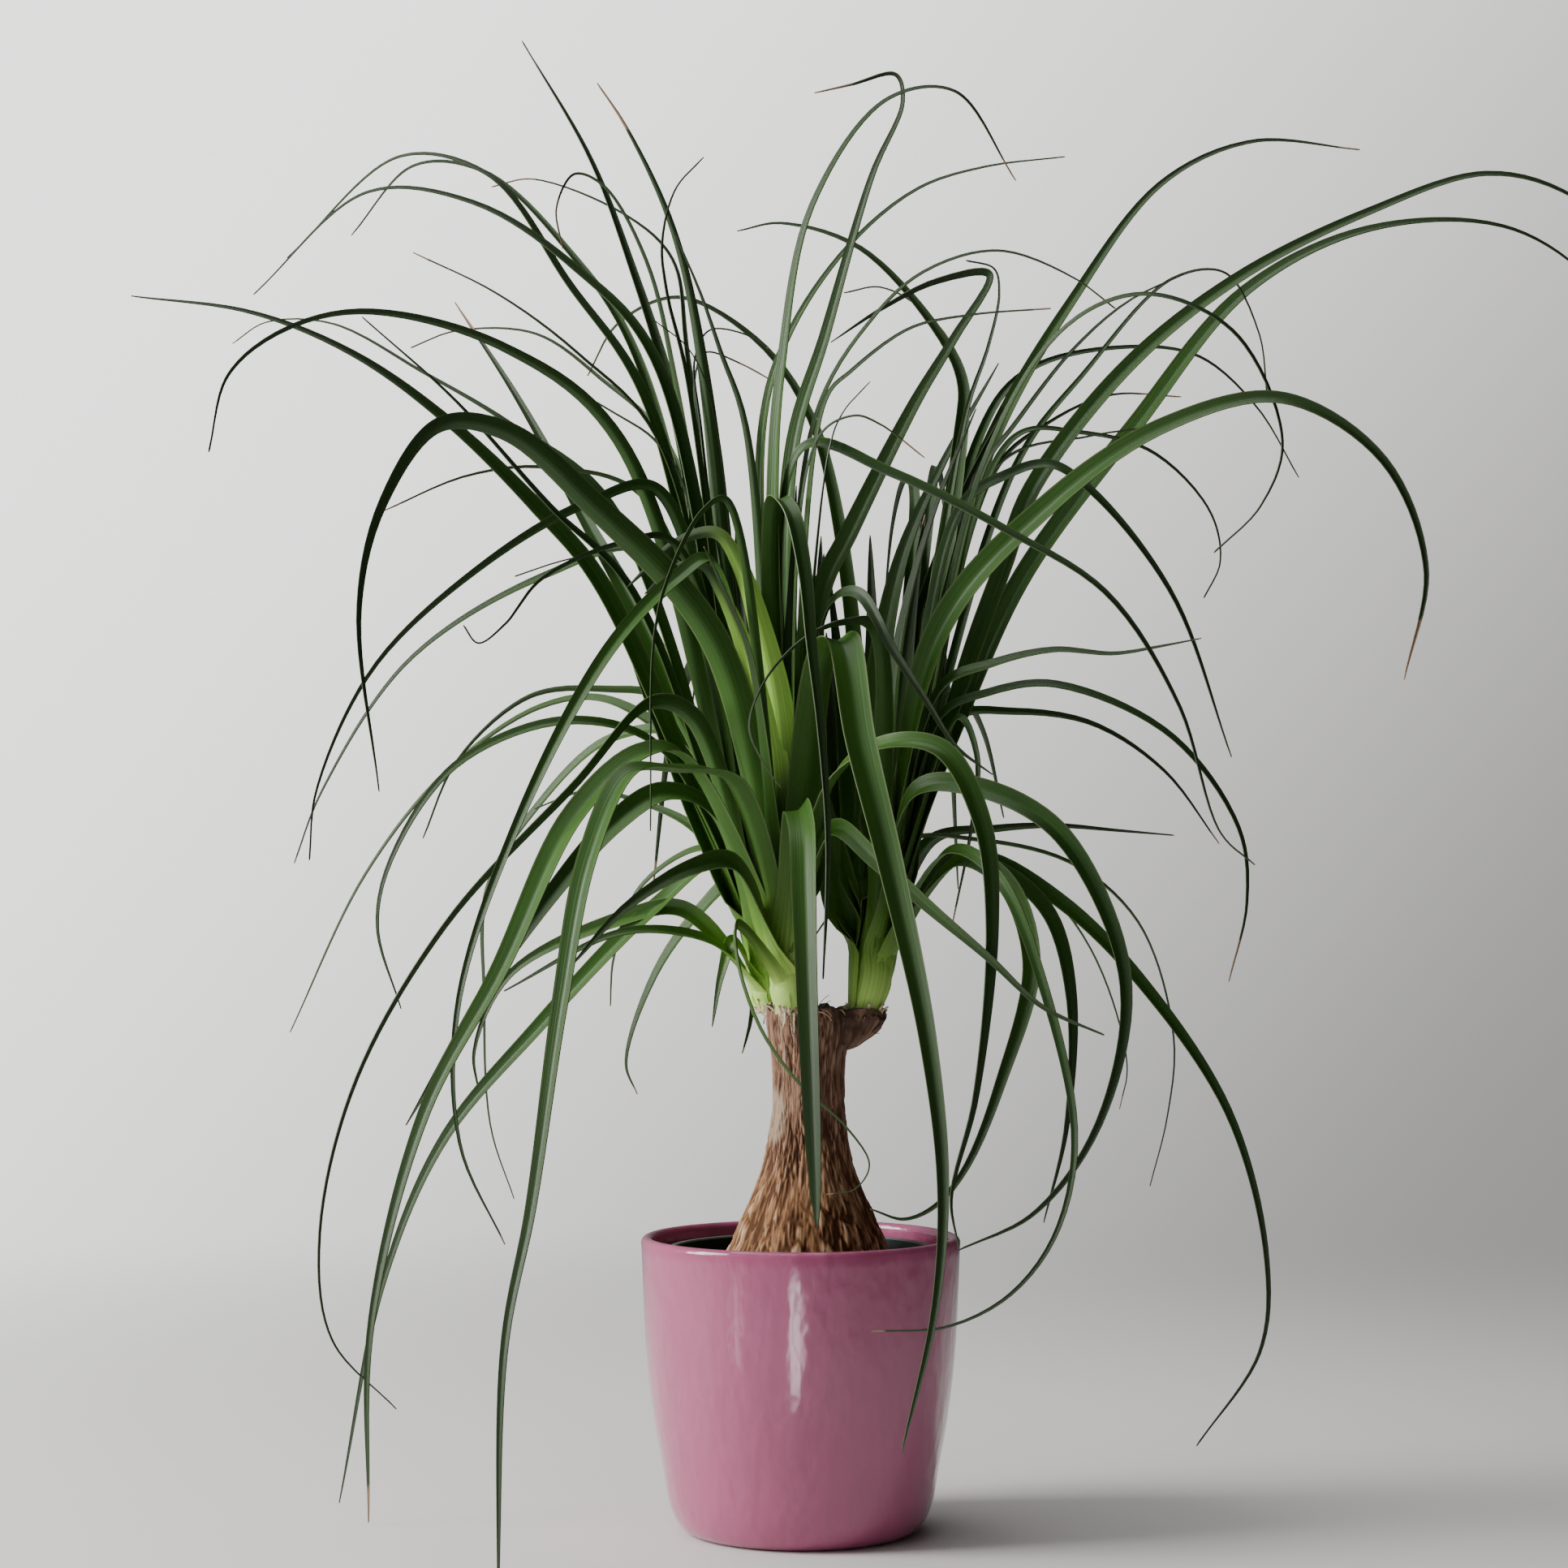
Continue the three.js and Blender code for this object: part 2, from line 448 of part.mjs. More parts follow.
// The rib's line: out of the stem near its foot, fanning straight to the blade's own points. The blades that
// part from the bundle highest are the innermost, and they start highest.
function ribLine(head, parts, points) {
  const through = points.map((point) => new THREE.Vector3(...point));
  const rootHeight = head.foot[2] + ROOT_CLEAR + ROOT_SPREAD * (parts - LOWEST_PARTING);
  const root = onStem(head, rootHeight);
  const outward = through[0].clone().sub(root).setZ(0).normalize();
  return new THREE.CatmullRomCurve3([root.addScaledVector(outward, 3), ...through], false, "centripetal");
}

// How far a blade is rolled about its rib: blades that run sideways turn their face towards the front.
function rollOf(sideways, order) {
  const degrees = -sideways * (58 + 16 * Math.sin(2.4 * order)) + 12 * Math.sin(3.1 * order);
  return THREE.MathUtils.degToRad(degrees);
}

function bladeSolid(head, parts, width, points, order) {
  const line = ribLine(head, parts, points);
  const steps = 2 * (line.points.length - 1);
  const root = line.points[0];
  const reach = (point) => Math.hypot(point.x - root.x, point.y - root.y);
  const far = line.points.reduce((a, b) => (reach(b) > reach(a) ? b : a));
  const heading = new THREE.Vector3(far.x - root.x, far.y - root.y, 0).normalize();
  const side = new THREE.Vector3(heading.y, -heading.x, 0);
  const roll = rollOf(heading.x, order);
  const stations = [];
  for (let step = 0; step <= steps; step++) stations.push(line.getPoint(step / steps));
  const along = [0];
  for (let step = 1; step <= steps; step++) {
    along.push(along[step - 1] + stations[step].distanceTo(stations[step - 1]));
  }
  const rings = stations.map((point, step) => {
    const s = along[step] / along[steps];
    const tangent = line.getTangent(step / steps);
    side.addScaledVector(tangent, -side.dot(tangent)).normalize();
    const up = new THREE.Vector3().crossVectors(side, tangent);
    const turn = roll * THREE.MathUtils.smoothstep(s, 0, 0.5);
    const across = side.clone().multiplyScalar(Math.cos(turn)).addScaledVector(up, Math.sin(turn));
    const face = up.clone().multiplyScalar(Math.cos(turn)).addScaledVector(side, -Math.sin(turn));
    const w = Math.max(0.9, width * (BLADE_ROOT_SHARE - s) * Math.pow(1 - Math.pow(s, 6), 0.7));
    const keel = Math.max(BLADE_THICKNESS, BLADE_KEEL * w);
    return [
      point.clone().addScaledVector(across, w / 2),
      point.clone().addScaledVector(face, -keel),
      point.clone().addScaledVector(across, -w / 2),
    ];
  });
  return toSolid(skinned(rings));
}

// A small repeatable draw between 0 and 1.
function drawsFrom(seed) {
  let state = seed;
  return () => {
    state = (state * 1103515245 + 12345) % 2147483648;
    return state / 2147483648;
  };
}

function backBlades(head, rule) {
  const draw = drawsFrom(rule.seed);
  const blades = [];
  for (let i = 0; i < rule.count; i++) {
    const heading = THREE.MathUtils.degToRad(
      THREE.MathUtils.lerp(rule.firstHeading, rule.lastHeading, (i + 0.2 + 0.6 * draw()) / rule.count));
    const parts = 400 + 150 * ((i * 0.382 + 0.3 * draw()) % 1);
    const lift = 50 + 80 * draw();
    const reach = THREE.MathUtils.lerp(...BACK_BLADE_REACH, draw());
    const drop = 50 + 130 * draw();
    const root = onStem(head, parts);
    const at = (share, height) => {
      const out = reach * share;
      return [root.x + out * Math.cos(heading), root.y + out * Math.sin(heading), height];
    };
    const crest = parts + lift;
    const width = BACK_BLADE_WIDTH * (0.7 + 0.5 * draw());
    const falling = [at(0.78, crest - 0.3 * drop), at(1, crest - drop)];
    blades.push([parts, width, at(0.22, crest - 22), at(0.45, crest), ...falling]);
  }
  return blades;
}

function leafyHead(name) {
  const head = HEADS[name];
  const hidden = name in BACK_BLADES ? backBlades(head, BACK_BLADES[name]) : [];
  const blades = [...BLADES[name], ...hidden];
  const solids = blades.map(([parts, width, ...points], order) => {
    return bladeSolid(head, parts, width, points, order);
  });
  return toGeometry(joinAll([toSolid(stem(head, 0)), ...solids]).simplify(SLIVER));
}

// ---- assembly ----
const palm = new THREE.Group();

function place(name, geometry, material) {
  const mesh = new THREE.Mesh(geometry, material);
  mesh.name = name;
  palm.add(mesh);
}

place("cover_pot", coverPot(), glaze);
place("grow_pot", growPot(), nurseryPlastic);
place("soil", soil(), pottingMix);
place("trunk", trunk(), bark);
for (const name of Object.keys(HEADS)) place(name, leafyHead(name), leaf);

export default palm;
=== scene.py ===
import math
import random

import bpy
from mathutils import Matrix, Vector, noise


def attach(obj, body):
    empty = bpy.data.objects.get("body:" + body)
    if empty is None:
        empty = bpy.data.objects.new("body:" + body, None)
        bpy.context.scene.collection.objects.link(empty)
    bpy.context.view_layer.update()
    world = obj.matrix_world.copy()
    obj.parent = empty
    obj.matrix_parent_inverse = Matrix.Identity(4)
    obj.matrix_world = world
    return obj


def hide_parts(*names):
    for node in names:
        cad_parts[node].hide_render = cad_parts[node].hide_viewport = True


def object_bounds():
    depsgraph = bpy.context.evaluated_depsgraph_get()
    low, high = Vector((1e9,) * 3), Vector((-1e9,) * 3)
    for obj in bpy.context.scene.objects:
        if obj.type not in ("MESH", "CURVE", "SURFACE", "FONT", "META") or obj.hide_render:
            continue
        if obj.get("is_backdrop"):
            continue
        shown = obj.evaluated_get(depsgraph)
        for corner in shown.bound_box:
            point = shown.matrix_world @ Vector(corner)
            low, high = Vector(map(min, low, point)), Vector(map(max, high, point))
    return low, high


# Potted ponytail palm: three leafy heads on a swollen trunk, in a nursery pot inside a glazed cover pot.
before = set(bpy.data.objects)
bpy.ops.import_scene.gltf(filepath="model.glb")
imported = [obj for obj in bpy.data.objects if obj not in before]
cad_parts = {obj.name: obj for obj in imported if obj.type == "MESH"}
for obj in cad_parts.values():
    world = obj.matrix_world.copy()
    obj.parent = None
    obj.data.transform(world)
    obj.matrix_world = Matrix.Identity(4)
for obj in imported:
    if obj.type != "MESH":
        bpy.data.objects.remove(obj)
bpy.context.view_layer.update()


# ---- Camera ----
# A long lens two metres in front of the pot, at the height of the trunk's shoulder, tipped up a little
# so that the upright leaves stay in the frame.
bpy.ops.object.camera_add(location=(-0.010, -2.000, 0.385), rotation=(math.radians(91.72), 0, 0))
camera = bpy.context.object
camera.data.lens = 76.5
bpy.context.scene.camera = camera


# ---- Cover pot ----
# Slip-cast stoneware: a slightly bellied cone on a small rounded foot, with a rolled rim, standing loose
# round the nursery pot. Its dusty pink glaze is glossy, with the soft waves that a dipped coat keeps.
pot_side = [(62, 0), (67, 0.8), (71, 3.2), (74.2, 7), (78.4, 17), (82.8, 41), (87.2, 65), (90.6, 90),
            (92.7, 114), (93.9, 138), (95, 165)]
pot_rim_radius = 95.4
pot_height = 175
pot_wall = 7
pot_floor = 7


def eased(points, step):
    """Points about a step apart on one smooth curve through the given ones."""
    points = [Vector(point) for point in points]
    points = [2 * points[0] - points[1], *points, 2 * points[-1] - points[-2]]
    run = []
    for before, start, end, after in zip(points, points[1:], points[2:], points[3:]):
        pairs = ((before, start), (start, end), (end, after))
        here, middle, there = [max((b - a).length ** 0.5, 1e-4) for a, b in pairs]
        leave = (start - before) / here - (end - before) / (here + middle) + (end - start) / middle
        arrive = (end - start) / middle - (after - start) / (middle + there) + (after - end) / there
        leave = leave * middle
        arrive = arrive * middle
        pieces = max(1, math.ceil((end - start).length / step))
        for i in range(pieces):
            t = i / pieces
            bend = (2 * start - 2 * end + leave + arrive) * t ** 3
            bend += (3 * end - 3 * start - 2 * leave - arrive) * t ** 2
            run.append(start + leave * t + bend)
    run.append(points[-2])
    return run


def turned(name, profile, sides):
    """Spins a run of (radius, height) points in millimetres round the upright axis."""
    bpy.ops.object.select_all(action="DESELECT")
    bpy.ops.mesh.primitive_plane_add(size=0.002, location=(0, 0, 0))
    piece = bpy.context.object
    piece.name = name
    piece.data.name = name
    bpy.ops.object.mode_set(mode="EDIT")
    bpy.ops.mesh.merge(type="CENTER")
    bpy.ops.transform.translate(value=(profile[0][0] / 1000, 0, profile[0][1] / 1000))
    for (r0, z0), (r1, z1) in zip(profile, profile[1:]):
        stride = ((r1 - r0) / 1000, 0, (z1 - z0) / 1000)
        bpy.ops.mesh.extrude_region_move(TRANSFORM_OT_translate={"value": stride})
    bpy.ops.mesh.select_all(action="SELECT")
    bpy.ops.mesh.spin(steps=sides, angle=2 * math.pi, center=(0, 0, 0), axis=(0, 0, 1))
    bpy.ops.mesh.select_all(action="SELECT")
    bpy.ops.mesh.remove_doubles(threshold=1e-6)
    bpy.ops.mesh.normals_make_consistent(inside=False)
    bpy.ops.object.mode_set(mode="OBJECT")
    bpy.ops.object.transform_apply(location=True, rotation=True, scale=True)
    bpy.ops.object.shade_smooth_by_angle(angle=math.radians(50))
    return piece


def finish_of(name, settings):
    """A new material with constant values set on its shader's own sockets."""
    material = bpy.data.materials.new(name)
    material.use_nodes = True
    shader = material.node_tree.nodes["Principled BSDF"]
    for socket, value in settings.items():
        shader.inputs[socket].default_value = value
    return material, material.node_tree, shader


def node(tree, kind, values=None, **settings):
    """A new node with its settings, and its unlinked sockets given by name or place."""
    made = tree.nodes.new(kind)
    for key, value in settings.items():
        setattr(made, key, value)
    for key, value in (values or {}).items():
        if isinstance(value, bpy.types.NodeSocket):
            tree.links.new(value, made.inputs[key])
        else:
            made.inputs[key].default_value = value
    return made


def ramp(tree, factor, stops):
    """A colour ramp over a factor, from (place, colour) stops."""
    made = node(tree, "ShaderNodeValToRGB", {0: factor})
    band = made.color_ramp
    while len(band.elements) < len(stops):
        band.elements.new(0.5)
    for element, (place, colour) in zip(band.elements, stops):
        element.position = place
        element.color = (*colour, 1)
    return made.outputs["Color"]


def blend(tree, factor, first, second, mode="MIX"):
    """Two colours mixed by a factor; each is a socket or a colour."""
    made = node(tree, "ShaderNodeMix", {0: factor}, data_type="RGBA", blend_type=mode)
    for place, value in ((6, first), (7, second)):
        if isinstance(value, bpy.types.NodeSocket):
            tree.links.new(value, made.inputs[place])
        else:
            made.inputs[place].default_value = (*value, 1)
    return made.outputs[2]


def worked(tree, operation, first, second=0.0, third=0.0):
    """One arithmetic step on sockets or numbers."""
    return node(tree, "ShaderNodeMath", {0: first, 1: second, 2: third}, operation=operation).outputs[0]


def own_place(tree):
    """The place on the object, in its own coordinates."""
    return node(tree, "ShaderNodeTexCoord").outputs["Object"]


def times(tree, vector, factors):
    """A vector times another, axis by axis."""
    return node(tree, "ShaderNodeVectorMath", {0: vector, 1: factors}, operation="MULTIPLY").outputs[0]


def soft_noise(tree, place, scale, detail):
    """A noise factor over a place."""
    return node(tree, "ShaderNodeTexNoise", {"Vector": place, "Scale": scale, "Detail": detail}).outputs[0]


def relieved(tree, shader, strength, distance, height):
    """Gives the shader a bump of a height."""
    bump = node(tree, "ShaderNodeBump", {"Strength": strength, "Distance": distance, "Height": height})
    tree.links.new(bump.outputs[0], shader.inputs["Normal"])


# Clouding: two sizes of soft noise over the object's own coordinates, for colour drift and faint waves.
clouding = bpy.data.node_groups.new("clouding", "ShaderNodeTree")
clouding.interface.new_socket("Stretch", in_out="INPUT", socket_type="NodeSocketVector")
for socket, way in (("Size", "INPUT"), ("Detail", "INPUT"), ("Broad", "OUTPUT"), ("Fine", "OUTPUT")):
    clouding.interface.new_socket(socket, in_out=way, socket_type="NodeSocketFloat")
taken = clouding.nodes.new("NodeGroupInput").outputs
given = clouding.nodes.new("NodeGroupOutput").inputs
place = times(clouding, own_place(clouding), taken["Stretch"])
scale = worked(clouding, "DIVIDE", 1.0, taken["Size"])
fine_scale = worked(clouding, "MULTIPLY", scale, 7.0)
clouding.links.new(soft_noise(clouding, place, scale, 2.0), given["Broad"])
clouding.links.new(soft_noise(clouding, place, fine_scale, taken["Detail"]), given["Fine"])


def clouds(tree, size, stretch=(1, 1, 1), detail=2.0):
    """The clouding group, with its broad and its fine factor."""
    made = node(tree, "ShaderNodeGroup", node_tree=clouding)
    made.inputs["Stretch"].default_value = stretch
    made.inputs["Size"].default_value = size
    made.inputs["Detail"].default_value = detail
    return made.outputs["Broad"], made.outputs["Fine"]


bead = pot_wall / 2
bead_steps = 12
rim = []
for step in range(bead_steps + 1):
    turn = math.pi * step / bead_steps
    rim.append((pot_rim_radius - bead + bead * math.cos(turn), pot_height - bead + bead * math.sin(turn)))
inside = [(radius - pot_wall, height) for radius, height in pot_side if height > pot_floor + 6]
profile = [(0, 0), (20, 0), (50, 0), *eased(pot_side, 4), *rim, *eased(inside[::-1], 5),
           (66, pot_floor + 3), (60, pot_floor), (25, pot_floor), (0, pot_floor)]
cover_pot = turned("cover_pot_glazed", profile, 144)

glaze, tree, shader = finish_of("pink_glaze", {"Coat Weight": 0.5, "Coat Roughness": 0.05,
                                               "Specular IOR Level": 0.5})
broad, fine = clouds(tree, 0.055, (1, 1, 0.6))
pink = ramp(tree, broad, [(0.3, (0.380, 0.080, 0.178)), (0.7, (0.420, 0.096, 0.205))])
specks = ramp(tree, soft_noise(tree, own_place(tree), 900.0, 1.0), [(0.66, (0, 0, 0)), (0.74, (1, 1, 1))])
pink = blend(tree, worked(tree, "MULTIPLY", specks, 0.12), pink, (0.20, 0.07, 0.10))
tree.links.new(pink, shader.inputs["Base Color"])
drip = soft_noise(tree, times(tree, own_place(tree), (1, 1, 0.55)), 95.0, 1.5)
relieved(tree, shader, 1.0, 0.0010, worked(tree, "MULTIPLY_ADD", fine, 0.08, drip))
tree.links.new(worked(tree, "MULTIPLY_ADD", fine, 0.08, 0.12), shader.inputs["Roughness"])
cover_pot.data.materials.append(glaze)
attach(cover_pot, "root")
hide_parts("cover_pot")


# ---- Nursery pot ----
# The thin blow-moulded pot that the palm was grown in, dark green-black and satin, dropped loose into the
# cover pot. Its lip is rolled out square and painted pale along its top as a highlight, and the floor has a
# ring of drain holes.
gap = 0.3
grow_top = 168
grow_wall = 1.6
grow_foot = 58
grow_mouth = 78
grow_lip = 2.2
hole_count = 8
hole_radius = 4
hole_ring = 36


def grow_radius(height):
    """The nursery pot's outside radius at a height."""
    low = pot_floor + gap
    return grow_foot + (grow_mouth - grow_foot) * (height - low) / (grow_top - low)


low = pot_floor + gap
floor_top = low + grow_wall
lip_foot = grow_top - 6
profile = [(0, low), (20, low), (46, low), (grow_foot - 2, low), (grow_radius(low + 2), low + 2)]
profile += [(grow_radius(height), height) for height in range(20, 161, 20)]
profile += [(grow_radius(lip_foot), lip_foot), (grow_mouth + grow_lip - 0.4, lip_foot),
            (grow_mouth + grow_lip, lip_foot + 0.4), (grow_mouth + grow_lip, grow_top - 0.9),
            (grow_mouth + grow_lip - 0.35, grow_top - 0.25), (grow_mouth + 1.2, grow_top),
            (grow_mouth - grow_wall + 0.3, grow_top), (grow_mouth - grow_wall, grow_top - 0.4)]
profile += [(grow_radius(height) - grow_wall, height) for height in range(160, 19, -20)]
profile += [(grow_radius(floor_top) - grow_wall, floor_top), (46, floor_top), (20, floor_top), (0, floor_top)]
grow_pot = turned("nursery_pot", profile, 120)
for hole in range(hole_count):
    turn = 2 * math.pi * hole / hole_count
    at = Vector((hole_ring * math.cos(turn), hole_ring * math.sin(turn), low)) / 1000
    bpy.ops.object.select_all(action="DESELECT")
    bpy.ops.mesh.primitive_cylinder_add(vertices=20, radius=hole_radius / 1000, depth=0.010, location=at)
    drill = bpy.context.object
    bpy.context.view_layer.objects.active = grow_pot
    cut = grow_pot.modifiers.new("drain_hole", "BOOLEAN")
    cut.operation = "DIFFERENCE"
    cut.solver = "EXACT"
    cut.object = drill
    bpy.ops.object.modifier_apply(modifier=cut.name)
    bpy.data.objects.remove(drill, do_unlink=True)

plastic, tree, shader = finish_of("nursery_pot_plastic", {"Specular IOR Level": 0.10})
broad, fine = clouds(tree, 0.03, detail=4.0)
dark = ramp(tree, broad, [(0.35, (0.008, 0.014, 0.011)), (0.7, (0.014, 0.022, 0.018))])
height = node(tree, "ShaderNodeSeparateXYZ", {0: own_place(tree)}).outputs[2]
# painted highlight: the top millimetre of the lip is coloured pale grey to stand for light catching the rim
at_lip = worked(tree, "GREATER_THAN", height, (grow_top - 1.0) / 1000)
painted_lip_highlight = worked(tree, "MULTIPLY", at_lip, worked(tree, "MULTIPLY_ADD", fine, 0.7, 0.25))
tree.links.new(blend(tree, painted_lip_highlight, dark, (0.23, 0.25, 0.24)), shader.inputs["Base Color"])
tree.links.new(worked(tree, "MULTIPLY_ADD", fine, 0.25, 0.40), shader.inputs["Roughness"])
relieved(tree, shader, 0.2, 0.0003, fine)
grow_pot.data.materials.append(plastic)
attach(grow_pot, "root")
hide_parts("grow_pot")


# ---- Potting mix ----
# Dark peat and bark fines, settled well below the nursery pot's lip and heaved up a little round the trunk,
# with loose crumbs, a few chips of bark and white grains of perlite lying on top.
soil_level = 142
soil_inner = 57
soil_outer = 73
open_ring = (57.5, 71.0)


def smoothed(value, start, end):
    """0 up to start, 1 from end, and an eased rise between them."""
    t = min(1, max(0, (value - start) / (end - start)))
    return t * t * (3 - 2 * t)


def heave(place):
    """How far the mix is heaped up or sunk at a place on its surface, in millimetres."""
    radius = math.hypot(place.x, place.y) * 1000
    swell = 2.0 * smoothed(radius, 66, soil_inner) - 0.8 * smoothed(radius, 66, soil_outer)
    return noise.fractal(place * 90, 1.0, 2.2, 4) * 2.2 + swell


low = pot_floor + gap + grow_wall + gap
inset = grow_wall + 2 * gap
profile = [(0, low), (30, low), (grow_radius(low) - inset - 1.5, low)]
profile += [(grow_radius(height) - inset, height) for height in range(20, 141, 15)]
profile += [(grow_radius(soil_level) - inset - 0.4, soil_level - 1.2)]
profile += [(radius / 10, soil_level) for radius in range(720, 565, -8)]
profile += [(56.3, soil_level - 1), (57.3, 136), (57.8, 122), (53.3, 107.7), (42.3, 96.7), (26.3, 91.7),
            (0, 91.7)]
soil = turned("potting_mix_bed", profile, 220)
for vertex in soil.data.vertices:
    if vertex.co.z * 1000 > soil_level - 1.5:
        grit = noise.noise(vertex.co * 900) * 0.5
        vertex.co.z += (heave(vertex.co) + grit) / 1000

mix, tree, shader = finish_of("potting_mix_peat", {"Roughness": 0.92, "Specular IOR Level": 0.2})
broad, fine = clouds(tree, 0.009, detail=6.0)
peat = ramp(tree, fine, [(0.3, (0.012, 0.008, 0.006)), (0.55, (0.040, 0.026, 0.017)),
                         (0.8, (0.085, 0.058, 0.038))])
tree.links.new(blend(tree, worked(tree, "MULTIPLY", broad, 0.6), peat, (0.030, 0.018, 0.011)),
               shader.inputs["Base Color"])
relieved(tree, shader, 0.8, 0.0008, fine)
soil.data.materials.append(mix)
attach(soil, "root")
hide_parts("soil")


def copied(blank):
    """A copy with its own mesh."""
    one = blank.copy()
    one.data = blank.data.copy()
    bpy.context.collection.objects.link(one)
    return one


def joined(name, copies, blank):
    """The copies made one piece, and the blank that they were taken from removed."""
    bpy.data.objects.remove(blank, do_unlink=True)
    bpy.ops.object.select_all(action="DESELECT")
    for one in copies:
        one.select_set(True)
    bpy.context.view_layer.objects.active = copies[0]
    bpy.ops.object.join()
    piece = bpy.context.object
    piece.name = name
    piece.data.name = name
    return piece


def scattered(name, count, sizes, flat, finish, seed):
    """Small lumps dropped over the ring of open soil, joined into one piece."""
    bpy.ops.object.select_all(action="DESELECT")
    bpy.ops.mesh.primitive_ico_sphere_add(subdivisions=2, radius=1, location=(0, 0, 0))
    lump = bpy.context.object
    rng = random.Random(seed)
    copies = []
    for _ in range(count):
        one = copied(lump)
        size = rng.uniform(*sizes) / 1000
        shape = Vector((rng.uniform(0.7, 1.4), rng.uniform(0.7, 1.1), rng.uniform(*flat))) * size
        spin = rng.uniform(0, 2 * math.pi)
        away = math.sqrt(rng.uniform(open_ring[0] ** 2, open_ring[1] ** 2)) / 1000
        turn = rng.uniform(0, 2 * math.pi)
        at = Vector((away * math.cos(turn), away * math.sin(turn), soil_level / 1000))
        at.z += heave(at) / 1000 + shape.z * 0.35
        shift = Vector((rng.uniform(0, 9), rng.uniform(0, 9), rng.uniform(0, 9)))
        for vertex in one.data.vertices:
            knob = vertex.co * (1 + 0.5 * noise.noise(vertex.co * 1.3 + shift))
            x, y, z = knob.x * shape.x, knob.y * shape.y, knob.z * shape.z
            vertex.co = (at.x + x * math.cos(spin) - y * math.sin(spin),
                         at.y + x * math.sin(spin) + y * math.cos(spin), at.z + z + x * 0.3)
        copies.append(one)
    piece = joined(name, copies, lump)
    piece.data.materials.append(finish)
    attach(piece, "root")


def matt_finish(name, roughness, gloss, grain, stops):
    """A matt material coloured by fine clouding, whose grain is its size, its stretch and its detail."""
    material, tree, shader = finish_of(name, {"Roughness": roughness, "Specular IOR Level": gloss})
    tree.links.new(ramp(tree, clouds(tree, *grain)[1], stops), shader.inputs["Base Color"])
    return material


scattered("potting_mix_crumbs", 420, (0.8, 2.3), (0.5, 0.9), mix, 3)
chip = matt_finish("potting_mix_chips_bark", 0.85, 0.25, (0.006, (1, 3, 1), 4.0),
                   [(0.3, (0.045, 0.024, 0.013)), (0.7, (0.150, 0.088, 0.050))])
scattered("potting_mix_chips", 46, (2.0, 4.2), (0.16, 0.3), chip, 11)
perlite = matt_finish("potting_mix_perlite", 0.9, 0.3, (0.002, (1, 1, 1), 3.0),
                      [(0.3, (0.42, 0.39, 0.34)), (0.7, (0.70, 0.68, 0.63))])
scattered("potting_mix_white_grains", 34, (0.7, 1.6), (0.6, 0.9), perlite, 23)


# ---- Trunk ----
# The palm's swollen foot and neck, sawn off flat years ago. Its corky bark has split into upright plates,
# tan and orange-brown low down and redder above, with a smooth pale patch where plates came away. A bulge
# on the right carries the third shoot, and the old saw cut between the shoots has dried nearly black.
trunk_top = 311
trunk_centre = 4.5
trunk_side = [(26, 92), (42, 97), (53, 108), (57.5, 122), (57, 136), (54, 150), (48.5, 166), (42, 182),
              (35.5, 196), (29.5, 210), (25.5, 224), (23, 240), (21.6, 258), (21.8, 276), (23.6, 290),
              (25.2, 301), (24.8, 306), (24.2, trunk_top)]
stub = {"out": 30.0, "long": 16.5, "deep": 16, "foot": 286, "full": 304}
cut_radius = 24.3
bark_radius = 34
plate_width = 2.7
plate_length = 13

bare_from = soil_level - 4
buried = [point for point in eased(trunk_side, 4) if point[1] <= bare_from]
bare = [point for point in eased(trunk_side, 1.25) if point[1] > bare_from]
cut_dip = [(22, 0.4), (19, -0.4), (15, -1.4), (11, -2), (7, -2), (3, -2), (0, -2)]
profile = [(0, 92), (14, 92), *buried, *bare, *[(radius, trunk_top + dip) for radius, dip in cut_dip]]
trunk = turned("trunk_bark", profile, 300)


def bulged(radius, turn, height):
    """The radius with the side bulge added where the ray leaves it."""
    c = math.cos(turn) / stub["long"]
    s = math.sin(turn) / stub["deep"]
    e = stub["out"] / stub["long"]
    clear = (e * c) ** 2 - (c * c + s * s) * (e * e - 1)
    if clear <= 0 or c <= 0:
        return radius
    far = (e * c + math.sqrt(clear)) / (c * c + s * s)
    rise = min(1, max(0, (height - stub["foot"]) / (stub["full"] - stub["foot"]))) ** 0.55
    return radius + max(0, far - radius) * rise


